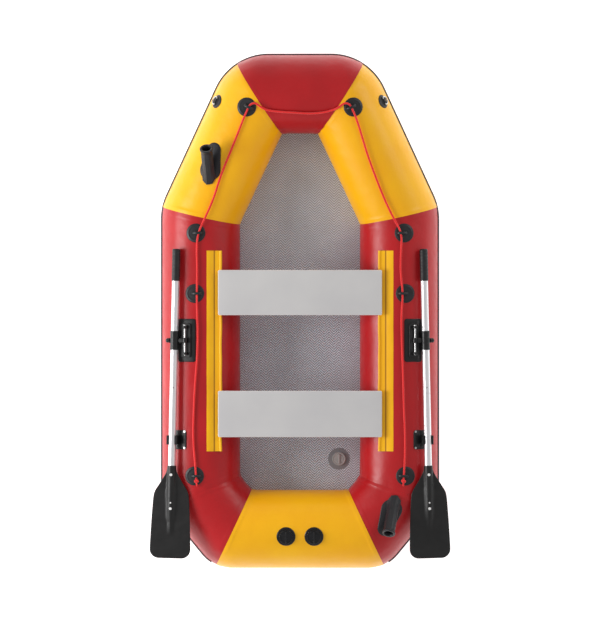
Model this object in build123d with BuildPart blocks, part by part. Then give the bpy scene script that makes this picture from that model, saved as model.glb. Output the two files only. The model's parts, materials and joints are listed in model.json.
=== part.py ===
"""Inflatable rowing dinghy: +Y is the bow, +X starboard, +Z up, millimetres, z = 0 under the tubes."""
from build123d import *
import os
from math import asin, atan2, cos, degrees, pi, radians, sin, sqrt, tan

os.makedirs("parts", exist_ok=True)

# Hull: the centreline of the air tube is an eight-cornered ring
HULL_LENGTH = 2300.0
HULL_BEAM = 1250.0
TUBE_RADIUS = 175.0
SKIN = 1.0
BOW_HALF = 191.0
BOW_RISE = 90.0
SHOULDER_Y = 432.0
QUARTER_Y = -800.0
STERN_HALF = 300.0
TAPE = 0.8
TAPE_REACH = 25.0
BULKHEAD_GAP = 0.3

# Rubbing strake round the widest line of the tube
STRAKE_PROUD = 6.0
STRAKE_ANGLE = 9.0
STRAKE_STOP = 25.0
GLUE = 0.2

# Floor: bottom sheet, air deck and the yarns that hold its two skins together
SHEET = 1.2
SHEET_Z = 15.8
DECK_THICK = 70.0
DECK_SKIN = 1.2
EDGE_GAP = 2.5
BOW_FLOOR_GAP = 4.0
YARN_RADIUS = 0.6
YARN_PITCH = 90.0
YARN_COLUMNS = 6
YARN_ROWS = 13
YARN_CENTRE_Y = -190.0

# Seat tracks: a glued flap whose free edge carries a bead, and thwarts that slide on the beads
TRACK_FORE = 270.0
TRACK_AFT = -620.0
TRACK_OUTER = 30.0
TRACK_CREASE = 64.0
BEAD_IN = 92.0
BEAD_RADIUS = 6.0
BEAD_ROPE_RADIUS = 4.5
FLAP = 1.2
WEB_HALF = 0.7
CLAMP_RADIUS = 9.0
CLAMP_GAP = 0.3
CLAMP_LENGTH = 160.0
CLAMP_BASE = 3.0
CLAMP_INNER = 47.0
CLAMP_TUBE_GAP = 0.8
WEB_SLOT = 3.4
THWART_OVERHANG = 11.0
THWART_THICK = 12.0
THWARTS = {"forward": (84.0, 200.0), "aft": (-454.0, 205.0)}
THWART_CORNER = 12.0
THWART_EDGE = 2.5
SCREW_RADIUS = 2.5
SCREW_HEAD = 5.0
SCREW_HEAD_HIGH = 3.0
SCREW_BITE = 9.0
SCREW_IN = 31.0
SCREW_SPREAD = 100.0

# Lifeline and its eyelet patches: one out from and aft of each bow corner, three out from each side tube
EYELET_BOW = (44.0, 68.0)
EYELET_SIDES = ((18.0, 348.0), (23.0, 80.0), (24.0, -729.0))
EYELET_RADIUS = 42.0
EYELET_THICK = 2.5
BRIDGE_LONG = 12.0
BRIDGE_WIDE = 50.0
BRIDGE_HIGH = 19.0
BRIDGE_SLOT_WIDE = 28.0
BRIDGE_SLOT_HIGH = 15.0
BRIDGE_IN = 10.0
ROPE_RADIUS = 4.5
KNOT_RADIUS = 9.0
KNOT_OUT = 6.0
KNOT_UP = 4.0
ARC_SHARE = 0.45

# Tow rings, out from and aft of the bow corners
TOW_BOW = (TUBE_RADIUS + 2.0, 38.0)
TOW_PATCH_RADIUS = 38.0
TOW_PATCH_THICK = 2.5
RING_WIRE = 3.0
RING_HALF = 17.0
RING_FIT = 0.08
RING_LIFT = 4.2
LOOP_WIDE = 22.0
LOOP_WALL = 2.2

# Valves
FLOOR_VALVE = (176.0, -665.0)
FLOOR_VALVE_FLANGE = 31.0
FLOOR_VALVE_BARREL = 24.0
FLOOR_VALVE_BORE = 17.0
FLOOR_VALVE_DEEP = 40.0
FLANGE_THICK = 3.0
HUB_BORE = 4.08
STEM_RADIUS = 4.0
SPRING_WIRE = 0.8
SPRING_RADIUS = 6.0
VALVE_LIFT = 4.0
HULL_VALVE_HALF = 62.0
HULL_VALVE_AFT = 23.0
HULL_VALVE_FLANGE = 42.0
HULL_VALVE_BOSS = 31.0
HULL_VALVE_NECK = 22.0
HULL_VALVE_BORE = 20.0
HULL_VALVE_BOSS_HIGH = 7.0
CAP_GAP = 0.3
CAP_HIGH = 6.0
CAP_SKIRT = 3.0
CAP_EDGE = 1.5
GRIP_BAR = (50.0, 9.0, 8.0)
FLOOR_CAP_HIGH = 8.0
FLOOR_CAP_EDGE = 2.0
FLOOR_GRIP_BAR = (44.0, 9.0, 5.0)
PLUNGER_LAP = 2.0
SPOKE_ROOT = 1.0

# Rod holders: out from and along from the port bow corner and the starboard stern corner, and their turns
ROD_PORT_BOW = (200.0, 305.0)
ROD_STARBOARD_STERN = (94.0, 60.0)
ROD_TURNS = (15.0, 20.0)
ROD_FOOT_THICK = 4.0
ROD_FOOT_ENDS = ((-38.0, 47.0), (50.0, 34.0))
ROD_SOCKET_RADIUS = 25.5
ROD_BORE_RADIUS = 20.5
ROD_BORE_DEEP = 112.0
ROD_SOCKET_LONG = 150.0
ROD_LEAN = 40.0
ROD_START = -60.0
ROD_RIM = 29.0
ROD_RIM_HIGH = 8.0
ROD_RIBS = 8
ROD_RIB_WIDE = 3.2

# Rowlocks
ROWLOCK_OUT = 59.0
ROWLOCK_Y = -128.0
ROWLOCK_PAD = (192.0, 84.0, 4.0)
ROWLOCK_PLATE = (150.0, 46.0, 10.0)
ROWLOCK_CORNER = 12.0
PLATE_SUNK = 2.0
PIN_HIGH = 22.0
PIN_RADIUS = 4.0
PIN_FIT = 0.05
PIN_HALF = 66.0
PIN_HEAD_RADIUS = 6.0
PIN_HEAD_HIGH = 2.5
LUG_AT = 58.0
LUG_WIDE = 12.0
LUG_RADIUS = 9.5
ARM_HALF = 11.0
ARM_THICK = 10.0
ARM_DROOP = 16.0
STEM_TO_OAR = 48.0
ROWLOCK_STEM = 5.0
STEM_LONG = 80.0
NUT_RADIUS = 10.3
NUT_STRAIGHT = 10.5
NUT_GAP = 0.5
NUT_DEEP = 13.0

# Oars: distances are measured along the shaft from the rowlock, grip end positive
OAR_RADIUS = 16.25
OAR_WALL = 1.2
OAR_TOE = 1.23
COLLAR_RADIUS = 19.7
COLLAR_LONG = 84.0
COLLAR_EDGE = 2.0
GRIP_RADIUS = 18.5
GRIP_FROM = 264.0
GRIP_TO = 406.0
GRIP_END = 10.0
SPLIT_AT = -234.0
SPIGOT_LONG = 90.0
SPIGOT_GAP = 0.05
BUTTON_AT = -209.0
BUTTON_RADIUS = 4.0
BUTTON_FIT = 0.05
BUTTON_PROUD = 2.4
BUTTON_FLANGE = 5.5
BUTTON_FLANGE_THICK = 2.0
BLADE_TILT = 5.0
BLADE_HALF = 91.0
BLADE_SHOULDER_HALF = 79.0
BLADE_ROOT = 578.0
BLADE_THICK = 5.0
BLADE_NECK = 555.0
BLADE_SHAFT_END = 690.0
BLADE_SHOULDER = 672.0
BLADE_WIDEST = 912.0
BLADE_END = 966.0
BLADE_CORNER = 40.0
SOCKET_RADIUS = 19.5

# Oar clips
CLIP_Y = -569.0
CLIP_OUT = 97.0
CLIP_SWING_GAP = 0.4
CLIP_PAD = (86.0, 84.0, 4.0)
CLIP_GAP = 0.5
CLIP_WALL = 5.0
CLIP_LONG = 40.0
CLIP_MOUTH = 13.4
CLIP_WALL_HIGH = 10.0
CLIP_LIP = 5.5
CLIP_FOOT = 26.0
CLIP_SCREW = (36.0, -30.0)
CLIP_SCREW_RADIUS = 2.0
CLIP_SCREW_HEAD = 5.0

BOW_Y = HULL_LENGTH / 2 - TUBE_RADIUS - STRAKE_PROUD
STERN_Y = TUBE_RADIUS - HULL_LENGTH / 2
SIDE_X = HULL_BEAM / 2 - TUBE_RADIUS - STRAKE_PROUD
FLOOR_SLOPE = BOW_RISE / (BOW_Y - SHOULDER_Y)
PAD_REACH = 40.0

PORT_HALF = (
    Vector(-STERN_HALF, STERN_Y, TUBE_RADIUS),
    Vector(-SIDE_X, QUARTER_Y, TUBE_RADIUS),
    Vector(-SIDE_X, SHOULDER_Y, TUBE_RADIUS),
    Vector(-BOW_HALF, BOW_Y, TUBE_RADIUS + BOW_RISE),
)
CORNERS = PORT_HALF + tuple(Vector(-p.X, p.Y, p.Z) for p in reversed(PORT_HALF))
PANELS = (
    "port_quarter_panel",
    "port_side_panel",
    "port_bow_panel",
    "bow_panel",
    "starboard_bow_panel",
    "starboard_side_panel",
    "starboard_quarter_panel",
    "stern_panel",
)
PORT_SIDE = 1
PORT_BOW = 2
BOW = 3
STARBOARD_QUARTER = 6
STERN = 7

# Plan places on the hull: segment, x and y
EYELETS = ((PORT_BOW, -BOW_HALF - EYELET_BOW[0], BOW_Y - EYELET_BOW[1]),)
EYELETS += tuple((PORT_SIDE, -SIDE_X - out, y) for out, y in EYELET_SIDES)
TOW_PLACE = (PORT_BOW, -BOW_HALF - TOW_BOW[0], BOW_Y - TOW_BOW[1])
ROWLOCK_PLACE = (PORT_SIDE, -SIDE_X - ROWLOCK_OUT, ROWLOCK_Y)
ROD_HOLDERS = {
    "port": (PORT_BOW, -BOW_HALF - ROD_PORT_BOW[0], BOW_Y - ROD_PORT_BOW[1], ROD_TURNS[0]),
    "starboard": (
        STARBOARD_QUARTER,
        STERN_HALF + ROD_STARBOARD_STERN[0],
        STERN_Y + ROD_STARBOARD_STERN[1],
        ROD_TURNS[1],
    ),
}


def save(made, label):
    """Label a finished sub-part and write its STEP file."""
    made.part.label = label
    export_step(made.part, f"parts/{label}.step")


def mirrored(made):
    """The same sub-part on the other side of the boat."""
    with BuildPart() as other:
        add(mirror(made.part, about=Plane.YZ, mode=Mode.PRIVATE))
    return other


def save_pair(made, label):
    """Write a port piece and its starboard twin."""
    save(made, f"port_{label}")
    save(mirrored(made), f"starboard_{label}")


def save_both(made, label):
    """Write a port piece and its starboard twin as one node of two solids."""
    with BuildPart() as pair:
        add(made.part)
        add(mirror(made.part, about=Plane.YZ, mode=Mode.PRIVATE))
    save(pair, label)


def corner(i):
    """Corner i of the centreline, counted round the ring."""
    return CORNERS[i % len(CORNERS)]


def along(i):
    """Unit direction of hull segment i, from corner i to the next."""
    return (corner(i + 1) - corner(i)).normalized()


def outboard(i):
    """Level unit direction out of the boat, square to segment i."""
    return Vector(0, 0, 1).cross(along(i)).normalized()


def mitre(i, shift=0.0):
    """Plane that cuts the tube at corner i, facing on along the ring."""
    facing = along(i - 1) + along(i)
    return Plane(origin=corner(i), z_dir=facing).offset(shift)


def tube_wall(i, inner, outer, first, last, span=None):
    """Wall of segment i between two radii and two planes; span in degrees, 0 outboard and 90 up."""
    start = corner(i) - along(i) * 2 * TUBE_RADIUS
    length = (corner(i + 1) - corner(i)).length + 4 * TUBE_RADIUS
    with BuildPart() as wall:
        with BuildSketch(Plane(origin=start, x_dir=outboard(i), z_dir=along(i))):
            Circle(outer)
            if inner > 0:
                Circle(inner, mode=Mode.SUBTRACT)
            if span:
                angles = [span[0], sum(span) / 2, span[1]]
                rays = [(2 * outer * cos(radians(a)), 2 * outer * sin(radians(a))) for a in angles]
                Polygon((0, 0), *rays, align=None, mode=Mode.INTERSECT)
        extrude(amount=length)
        split(bisect_by=first, keep=Keep.TOP)
        split(bisect_by=last, keep=Keep.BOTTOM)
    return wall


def on_tube(i, x, y, lift=0.0):
    """Plane on top of segment i over plan point x, y: x along the tube, y outboard, z out of it."""
    out_dir = outboard(i)
    up_dir = along(i).cross(out_dir)
    level = Vector(along(i).X, along(i).Y, 0).normalized()
    reach = Vector(x - corner(i).X, y - corner(i).Y, 0)
    out = reach.dot(out_dir)
    rise = sqrt((TUBE_RADIUS + lift) ** 2 - out**2)
    ahead = (reach.dot(level) - rise * up_dir.dot(level)) / along(i).dot(level)
    spoke = out_dir * out + up_dir * rise
    return Plane(origin=corner(i) + along(i) * ahead + spoke, x_dir=along(i), z_dir=spoke)


def glued(i, thickness):
    """Layer of the given thickness all round segment i, glued to its outside."""
    inner = TUBE_RADIUS + GLUE
    return tube_wall(i, inner, inner + thickness, mitre(i), mitre(i + 1)).part


def tube_core(i):
    """Everything inside the glue line of segment i."""
    return tube_wall(i, 0, TUBE_RADIUS + GLUE, mitre(i), mitre(i + 1)).part


def valve_plane(side=-1):
    """Plane of a hull valve on the stern tube."""
    return on_tube(STERN, side * HULL_VALVE_HALF, STERN_Y - HULL_VALVE_AFT)


# %% Hull skin
def make_panels():
    """Eight mitred panels of skin; the stern one is pierced for its two valves."""
    for i, name in enumerate(PANELS):
        wall = tube_wall(i, TUBE_RADIUS - SKIN, TUBE_RADIUS, mitre(i), mitre(i + 1))
        with BuildPart() as panel:
            add(wall.part)
            if i == STERN:
                for side in (-1, 1):
                    with BuildSketch(valve_plane(side).offset(-PAD_REACH)):
                        Circle(HULL_VALVE_NECK + GLUE)
                    extrude(amount=2 * PAD_REACH, mode=Mode.SUBTRACT)
        save(panel, name)


def make_seams():
    """Tapes inside each mitre, and the two bulkheads that part the port and starboard air."""
    inner = TUBE_RADIUS - SKIN
    with BuildPart() as tapes:
        for i in range(len(CORNERS)):
            add(tube_wall(i, inner - TAPE, inner, mitre(i), mitre(i, TAPE_REACH)).part)
            add(tube_wall(i - 1, inner - TAPE, inner, mitre(i, -TAPE_REACH), mitre(i)).part)
    save(tapes, "seam_tapes")
    with BuildPart() as bulkheads:
        for i in (BOW, STERN):
            centre = Vector(0, corner(i).Y, corner(i).Z)
            with BuildSketch(Plane(origin=centre, x_dir=(0, 1, 0), z_dir=(1, 0, 0)).offset(-SKIN / 2)):
                Circle(inner - BULKHEAD_GAP)
            extrude(amount=SKIN)
    save(bulkheads, "chamber_bulkheads")


def make_strake():
    """Rubber strake round the bow, sides and quarters, left off across the stern."""
    outer = TUBE_RADIUS + STRAKE_PROUD
    span = (-STRAKE_ANGLE, STRAKE_ANGLE)
    with BuildPart() as strake:
        for i in range(STERN):
            first = mitre(i, STRAKE_STOP if i == 0 else 0)
            last = mitre(i + 1, -STRAKE_STOP if i + 1 == STERN else 0)
            add(tube_wall(i, TUBE_RADIUS + GLUE, outer, first, last, span).part)
    save(strake, "rubbing_strake")


# %% Floor
def floor_plan(bow_shift):
    """Plan corners of the tube's centreline, with the bow edge moved along the bow sides."""
    stretch = (BOW_Y + bow_shift - SHOULDER_Y) / (BOW_Y - SHOULDER_Y)
    bow_x = SIDE_X + (BOW_HALF - SIDE_X) * stretch
    half = [(STERN_HALF, STERN_Y), (SIDE_X, QUARTER_Y), (SIDE_X, SHOULDER_Y), (bow_x, BOW_Y + bow_shift)]
    return half + [(-x, y) for x, y in reversed(half)]


def floor_slab(bottom, top, inset, bow_shift):
    """Slab between two heights that keeps an inset from the centreline and kinks up with the bow."""
    climb = FLOOR_SLOPE * (HULL_LENGTH - SHOULDER_Y)
    low = [(-HULL_LENGTH, bottom), (SHOULDER_Y, bottom), (HULL_LENGTH, bottom + climb)]
    high = [(HULL_LENGTH, top + climb), (SHOULDER_Y, top), (-HULL_LENGTH, top)]
    with BuildPart() as slab:
        with BuildSketch(Plane.XY):
            Polygon(*floor_plan(bow_shift), align=None)
            offset(amount=-inset, kind=Kind.INTERSECTION)
        extrude(amount=HULL_LENGTH)
        with BuildSketch(Plane.YZ.offset(-HULL_BEAM)):
            Polygon(*low, *high, align=None)
        extrude(amount=2 * HULL_BEAM, mode=Mode.INTERSECT)
    return slab


def tube_half_width(z):
    """Half the tube's width at height z above the ground."""
    return sqrt(TUBE_RADIUS**2 - (z - TUBE_RADIUS) ** 2)


DECK_Z = SHEET_Z + SHEET
DECK_TOP = DECK_Z + DECK_THICK
DECK_INSET = tube_half_width(DECK_TOP) + EDGE_GAP
SHEET_INSET = tube_half_width(DECK_Z) + EDGE_GAP


def bow_floor_shift(z, inset):
    """How far a floor edge at height z may run on under the raised bow tube."""
    y = BOW_Y - inset
    for _ in range(20):
        below = BOW_RISE + TUBE_RADIUS - z - FLOOR_SLOPE * (y - SHOULDER_Y)
        y = BOW_Y - sqrt(max(TUBE_RADIUS**2 - min(below, TUBE_RADIUS) ** 2, 0)) - BOW_FLOOR_GAP
    return y - (BOW_Y - inset)


def make_floor():
    """Bottom sheet, hollow air deck pierced for its valve, and the yarns inside it."""
    sheet_shift = bow_floor_shift(DECK_Z, SHEET_INSET)
    save(floor_slab(SHEET_Z, DECK_Z, SHEET_INSET, sheet_shift), "bottom_sheet")
    deck_shift = bow_floor_shift(DECK_TOP, DECK_INSET)
    inner = floor_slab(DECK_Z + DECK_SKIN, DECK_TOP - DECK_SKIN, DECK_INSET + DECK_SKIN, deck_shift)
    with BuildPart() as deck:
        add(floor_slab(DECK_Z, DECK_TOP, DECK_INSET, deck_shift).part)
        add(inner.part, mode=Mode.SUBTRACT)
        with BuildSketch(Plane.XY.offset(DECK_TOP - DECK_THICK / 2)):
            with Locations(FLOOR_VALVE):
                Circle(FLOOR_VALVE_BARREL + GLUE)
        extrude(amount=DECK_THICK, mode=Mode.SUBTRACT)
    save(deck, "air_deck")
    with BuildPart() as yarns:
        with BuildSketch(Plane.XY.offset(DECK_Z + DECK_SKIN)):
            with Locations((0, YARN_CENTRE_Y)):
                with GridLocations(YARN_PITCH, YARN_PITCH, YARN_COLUMNS, YARN_ROWS):
                    Circle(YARN_RADIUS)
        extrude(amount=DECK_THICK - 2 * DECK_SKIN)
    save(yarns, "drop_stitch_yarns")


# %% Seat tracks and thwarts
BEAD_X = SIDE_X - BEAD_IN
BEAD_Z = TUBE_RADIUS + sqrt((TUBE_RADIUS + CLAMP_RADIUS + CLAMP_TUBE_GAP) ** 2 - BEAD_IN**2)
CREASE_X = SIDE_X - TRACK_CREASE
CREASE_Z = TUBE_RADIUS + sqrt((TUBE_RADIUS + GLUE + FLAP / 2) ** 2 - TRACK_CREASE**2)
THWART_Z = BEAD_Z + CLAMP_RADIUS + CLAMP_BASE
THWART_HALF = BEAD_X + THWART_OVERHANG


def make_tracks():
    """Port and starboard tracks, each a glued flap, a web and a bead, with a rope in the bead."""
    fore = Plane(origin=(0, TRACK_FORE, 0), z_dir=(0, 1, 0))
    aft = Plane(origin=(0, TRACK_AFT, 0), z_dir=(0, 1, 0))
    reach = TUBE_RADIUS + GLUE
    span = (90 + degrees(asin(TRACK_OUTER / reach)), 90 + degrees(asin(TRACK_CREASE / reach)))
    root = (CREASE_X + 2 * FLAP, CREASE_Z)
    with BuildPart() as track:
        add(tube_wall(PORT_SIDE, reach, reach + FLAP, aft, fore, span).part)
        with BuildSketch(Plane.XZ.offset(-TRACK_FORE)):
            with Locations((-BEAD_X, BEAD_Z)):
                Circle(BEAD_RADIUS)
            edge = [(-BEAD_X, BEAD_Z - WEB_HALF), (-root[0], root[1] - WEB_HALF)]
            back = [(-root[0], root[1] + WEB_HALF), (-BEAD_X, BEAD_Z + WEB_HALF)]
            Polygon(*edge, *back, align=None)
            with Locations((-BEAD_X, BEAD_Z)):
                Circle(BEAD_ROPE_RADIUS, mode=Mode.SUBTRACT)
        extrude(amount=TRACK_FORE - TRACK_AFT)
        add(tube_core(PORT_SIDE), mode=Mode.SUBTRACT)
    save_both(track, "seat_tracks")
    with BuildPart() as rope:
        with BuildSketch(Plane.XZ.offset(-TRACK_FORE)):
            with Locations((-BEAD_X, BEAD_Z)):
                Circle(BEAD_ROPE_RADIUS)
        extrude(amount=TRACK_FORE - TRACK_AFT)
    save_both(rope, "track_bead_ropes")


def clamp_blank(y):
    """Port end clamp of a thwart centred at y: a C round the bead under a flat base."""
    tilt = degrees(asin((CREASE_Z - BEAD_Z) / (CREASE_X - BEAD_X)))
    with BuildPart() as clamp:
        with BuildSketch(Plane.XZ.offset(-y - CLAMP_LENGTH / 2)):
            with Locations((-BEAD_X, BEAD_Z)):
                Circle(CLAMP_RADIUS)
                Rectangle(2 * CLAMP_RADIUS, THWART_Z - BEAD_Z, align=(Align.CENTER, Align.MIN))
            with Locations((-BEAD_X + CLAMP_RADIUS, THWART_Z - CLAMP_BASE)):
                Rectangle(CLAMP_INNER, CLAMP_BASE, align=(Align.MIN, Align.MIN))
            with Locations((-BEAD_X, BEAD_Z)):
                Circle(BEAD_RADIUS + CLAMP_GAP, mode=Mode.SUBTRACT)
            with Locations(Location((-BEAD_X, BEAD_Z, 0), (0, 0, -tilt))):
                Rectangle(3 * CLAMP_RADIUS, WEB_SLOT, align=(Align.MAX, Align.CENTER), mode=Mode.SUBTRACT)
        extrude(amount=CLAMP_LENGTH)
    return clamp


def screw_places(y):
    """Plan places of the four screws of a thwart centred at y."""
    x = BEAD_X - CLAMP_RADIUS - SCREW_IN
    return [(sx * x, y + sy * SCREW_SPREAD / 2) for sx in (-1, 1) for sy in (-1, 1)]


def make_thwart(name, y, width):
    """One board, its two end clamps and the four screws that come up through them."""
    with BuildPart() as board:
        with BuildSketch(Plane.XY.offset(THWART_Z)):
            with Locations((0, y)):
                RectangleRounded(2 * THWART_HALF, width, THWART_CORNER)
        extrude(amount=THWART_THICK)
        fillet(board.faces().filter_by(Axis.Z).edges(), THWART_EDGE)
        with BuildSketch(Plane.XY.offset(THWART_Z)):
            with Locations(*screw_places(y)):
                Circle(SCREW_RADIUS)
        extrude(amount=SCREW_BITE, mode=Mode.SUBTRACT)
    save(board, f"{name}_thwart")
    clamp = clamp_blank(y)
    with BuildPart() as clamps:
        add(clamp.part)
        add(mirror(clamp.part, about=Plane.YZ, mode=Mode.PRIVATE))
        with BuildSketch(Plane.XY.offset(THWART_Z - CLAMP_BASE)):
            with Locations(*screw_places(y)):
                Circle(SCREW_RADIUS)
        extrude(amount=CLAMP_BASE, mode=Mode.SUBTRACT)
    save(clamps, f"{name}_thwart_clamps")
    with BuildPart() as screws:
        with BuildSketch(Plane.XY.offset(THWART_Z - CLAMP_BASE - SCREW_HEAD_HIGH)):
            with Locations(*screw_places(y)):
                Circle(SCREW_HEAD)
        extrude(amount=SCREW_HEAD_HIGH)
        with BuildSketch(Plane.XY.offset(THWART_Z - CLAMP_BASE)):
            with Locations(*screw_places(y)):
                Circle(SCREW_RADIUS)
        extrude(amount=CLAMP_BASE + SCREW_BITE)
    save(screws, f"{name}_thwart_screws")


# %% Lifeline
# The route of the rope from the port aft knot, round the bow, to the starboard aft knot
ROPE_ROUTE = (
    ((-459, -745, 358), (-466, -655, 357), (-474, -560, 356), (-471, -450, 356), (-466, -335, 357))
    + ((-456, -215, 358), (-452, -100, 358), (-456, -5, 358), (-457, 80, 358), (-455, 190, 358))
    + ((-458, 280, 358), (-452, 348, 359), (-416, 424, 361), (-380, 505, 373), (-351, 600, 390))
    + ((-303, 714, 408), (-263, 814, 425), (-246, 858, 432), (-226, 900, 438), (-219, 921, 442))
    + ((-200, 932, 444), (-181, 923, 442), (-170, 902, 437), (-146, 886, 430), (-100, 880, 426))
    + ((-30, 877, 424), (45, 872, 423), (105, 877, 425), (146, 886, 430), (170, 902, 437))
    + ((181, 923, 442), (200, 932, 444), (219, 921, 442), (226, 900, 438), (246, 858, 432))
    + ((268, 790, 421), (298, 690, 405), (335, 592, 388), (372, 500, 371), (413, 415, 360))
    + ((452, 348, 359), (447, 262, 358), (445, 170, 358), (457, 80, 358), (449, -10, 358))
    + ((450, -110, 358), (454, -215, 358), (458, -330, 357), (460, -430, 357), (465, -530, 357))
    + ((466, -640, 357), (459, -745, 358))
)


def rope_radii(points):
    """Radius of each corner's arc, as large as its two runs allow."""
    radii = []
    for before, here, after in zip(points, points[1:], points[2:]):
        run_in, run_out = here - before, after - here
        half_turn = radians(run_in.get_angle(run_out)) / 2
        radii.append(ARC_SHARE * min(run_in.length, run_out.length) / tan(half_turn))
    return radii


def make_lifeline():
    """Rope in one tube of runs and arcs, and the knot at each end of it."""
    points = [Vector(*p) for p in ROPE_ROUTE]
    radii = rope_radii(points)
    with BuildPart() as rope:
        with BuildLine() as route:
            FilletPolyline(*points, radius=radii)
        with BuildSketch(Plane(origin=route.line @ 0, z_dir=route.line % 0)):
            Circle(ROPE_RADIUS)
        sweep(path=route.line)
    save(rope, "lifeline")
    print("lifeline radii", [round(r) for r in radii])
    length = sum(edge.length for edge in route.edges())
    print("lifeline length", round(length), "volume ratio", rope.part.volume / (length * pi * ROPE_RADIUS**2))
    with BuildPart() as knots:
        for end, inner in ((points[0], points[1]), (points[-1], points[-2])):
            with Locations(end + (end - inner).normalized() * KNOT_OUT + Vector(0, 0, KNOT_UP)):
                Sphere(KNOT_RADIUS)
        add(rope.part, mode=Mode.SUBTRACT)
    save(knots, "lifeline_knots")


def eyelet(i, x, y):
    """Round patch with a bar bridged over the rope."""
    centre = on_tube(i, x, y)
    bridge = on_tube(i, x + BRIDGE_IN, y)
    foot = TUBE_RADIUS + GLUE
    with BuildPart() as patch:
        with BuildSketch(centre.offset(-PAD_REACH)):
            Circle(EYELET_RADIUS)
        extrude(amount=2 * PAD_REACH)
        add(glued(i, EYELET_THICK), mode=Mode.INTERSECT)
        with BuildSketch(bridge.offset(-PAD_REACH / 2)):
            RectangleRounded(BRIDGE_LONG, BRIDGE_WIDE, BRIDGE_LONG / 3)
        extrude(amount=PAD_REACH / 2 + BRIDGE_HIGH)
        with BuildSketch(bridge.offset(GLUE + EYELET_THICK)):
            Rectangle(3 * BRIDGE_LONG, BRIDGE_SLOT_WIDE)
        extrude(amount=BRIDGE_SLOT_HIGH - EYELET_THICK, mode=Mode.SUBTRACT)
        add(tube_wall(i, 0, foot, mitre(i), mitre(i + 1)).part, mode=Mode.SUBTRACT)
    return patch


def make_eyelets():
    """All eight patches in one node."""
    with BuildPart() as patches:
        for place in EYELETS:
            made = eyelet(*place)
            add(made.part)
            add(mirror(made.part, about=Plane.YZ, mode=Mode.PRIVATE))
    save(patches, "lifeline_eyelets")


# %% Tow rings
def make_tow_rings():
    """Patch with a webbing loop on each bow shoulder, and the ring that swings in it."""
    seat = on_tube(*TOW_PLACE)
    axle = seat.offset(GLUE + TOW_PATCH_THICK + RING_LIFT)
    loop_radius = RING_WIRE + RING_FIT
    with BuildPart() as patch:
        with BuildSketch(seat.offset(-PAD_REACH)):
            Circle(TOW_PATCH_RADIUS)
        extrude(amount=2 * PAD_REACH)
        add(glued(PORT_BOW, TOW_PATCH_THICK), mode=Mode.INTERSECT)
        with BuildSketch(Plane(origin=axle.origin, x_dir=axle.y_dir, z_dir=axle.x_dir).offset(-LOOP_WIDE / 2)):
            Circle(loop_radius + LOOP_WALL)
            Rectangle(2 * (loop_radius + LOOP_WALL), 3 * RING_LIFT, align=(Align.CENTER, Align.MIN))
            Circle(loop_radius, mode=Mode.SUBTRACT)
        extrude(amount=LOOP_WIDE)
        add(tube_core(PORT_BOW), mode=Mode.SUBTRACT)
    save_both(patch, "tow_patches")
    with BuildPart() as ring:
        with BuildLine(axle) as wire:
            Line((-RING_HALF, 0), (RING_HALF, 0))
            Line((RING_HALF, 0), (RING_HALF, RING_HALF / 2))
            ThreePointArc((RING_HALF, RING_HALF / 2), (0, 1.5 * RING_HALF), (-RING_HALF, RING_HALF / 2))
            Line((-RING_HALF, RING_HALF / 2), (-RING_HALF, 0))
        with BuildSketch(Plane(origin=wire.line @ 0, z_dir=wire.line % 0)):
            Circle(RING_WIRE)
        sweep(path=wire.line, transition=Transition.ROUND)
    save_pair(ring, "tow_ring")


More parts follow.
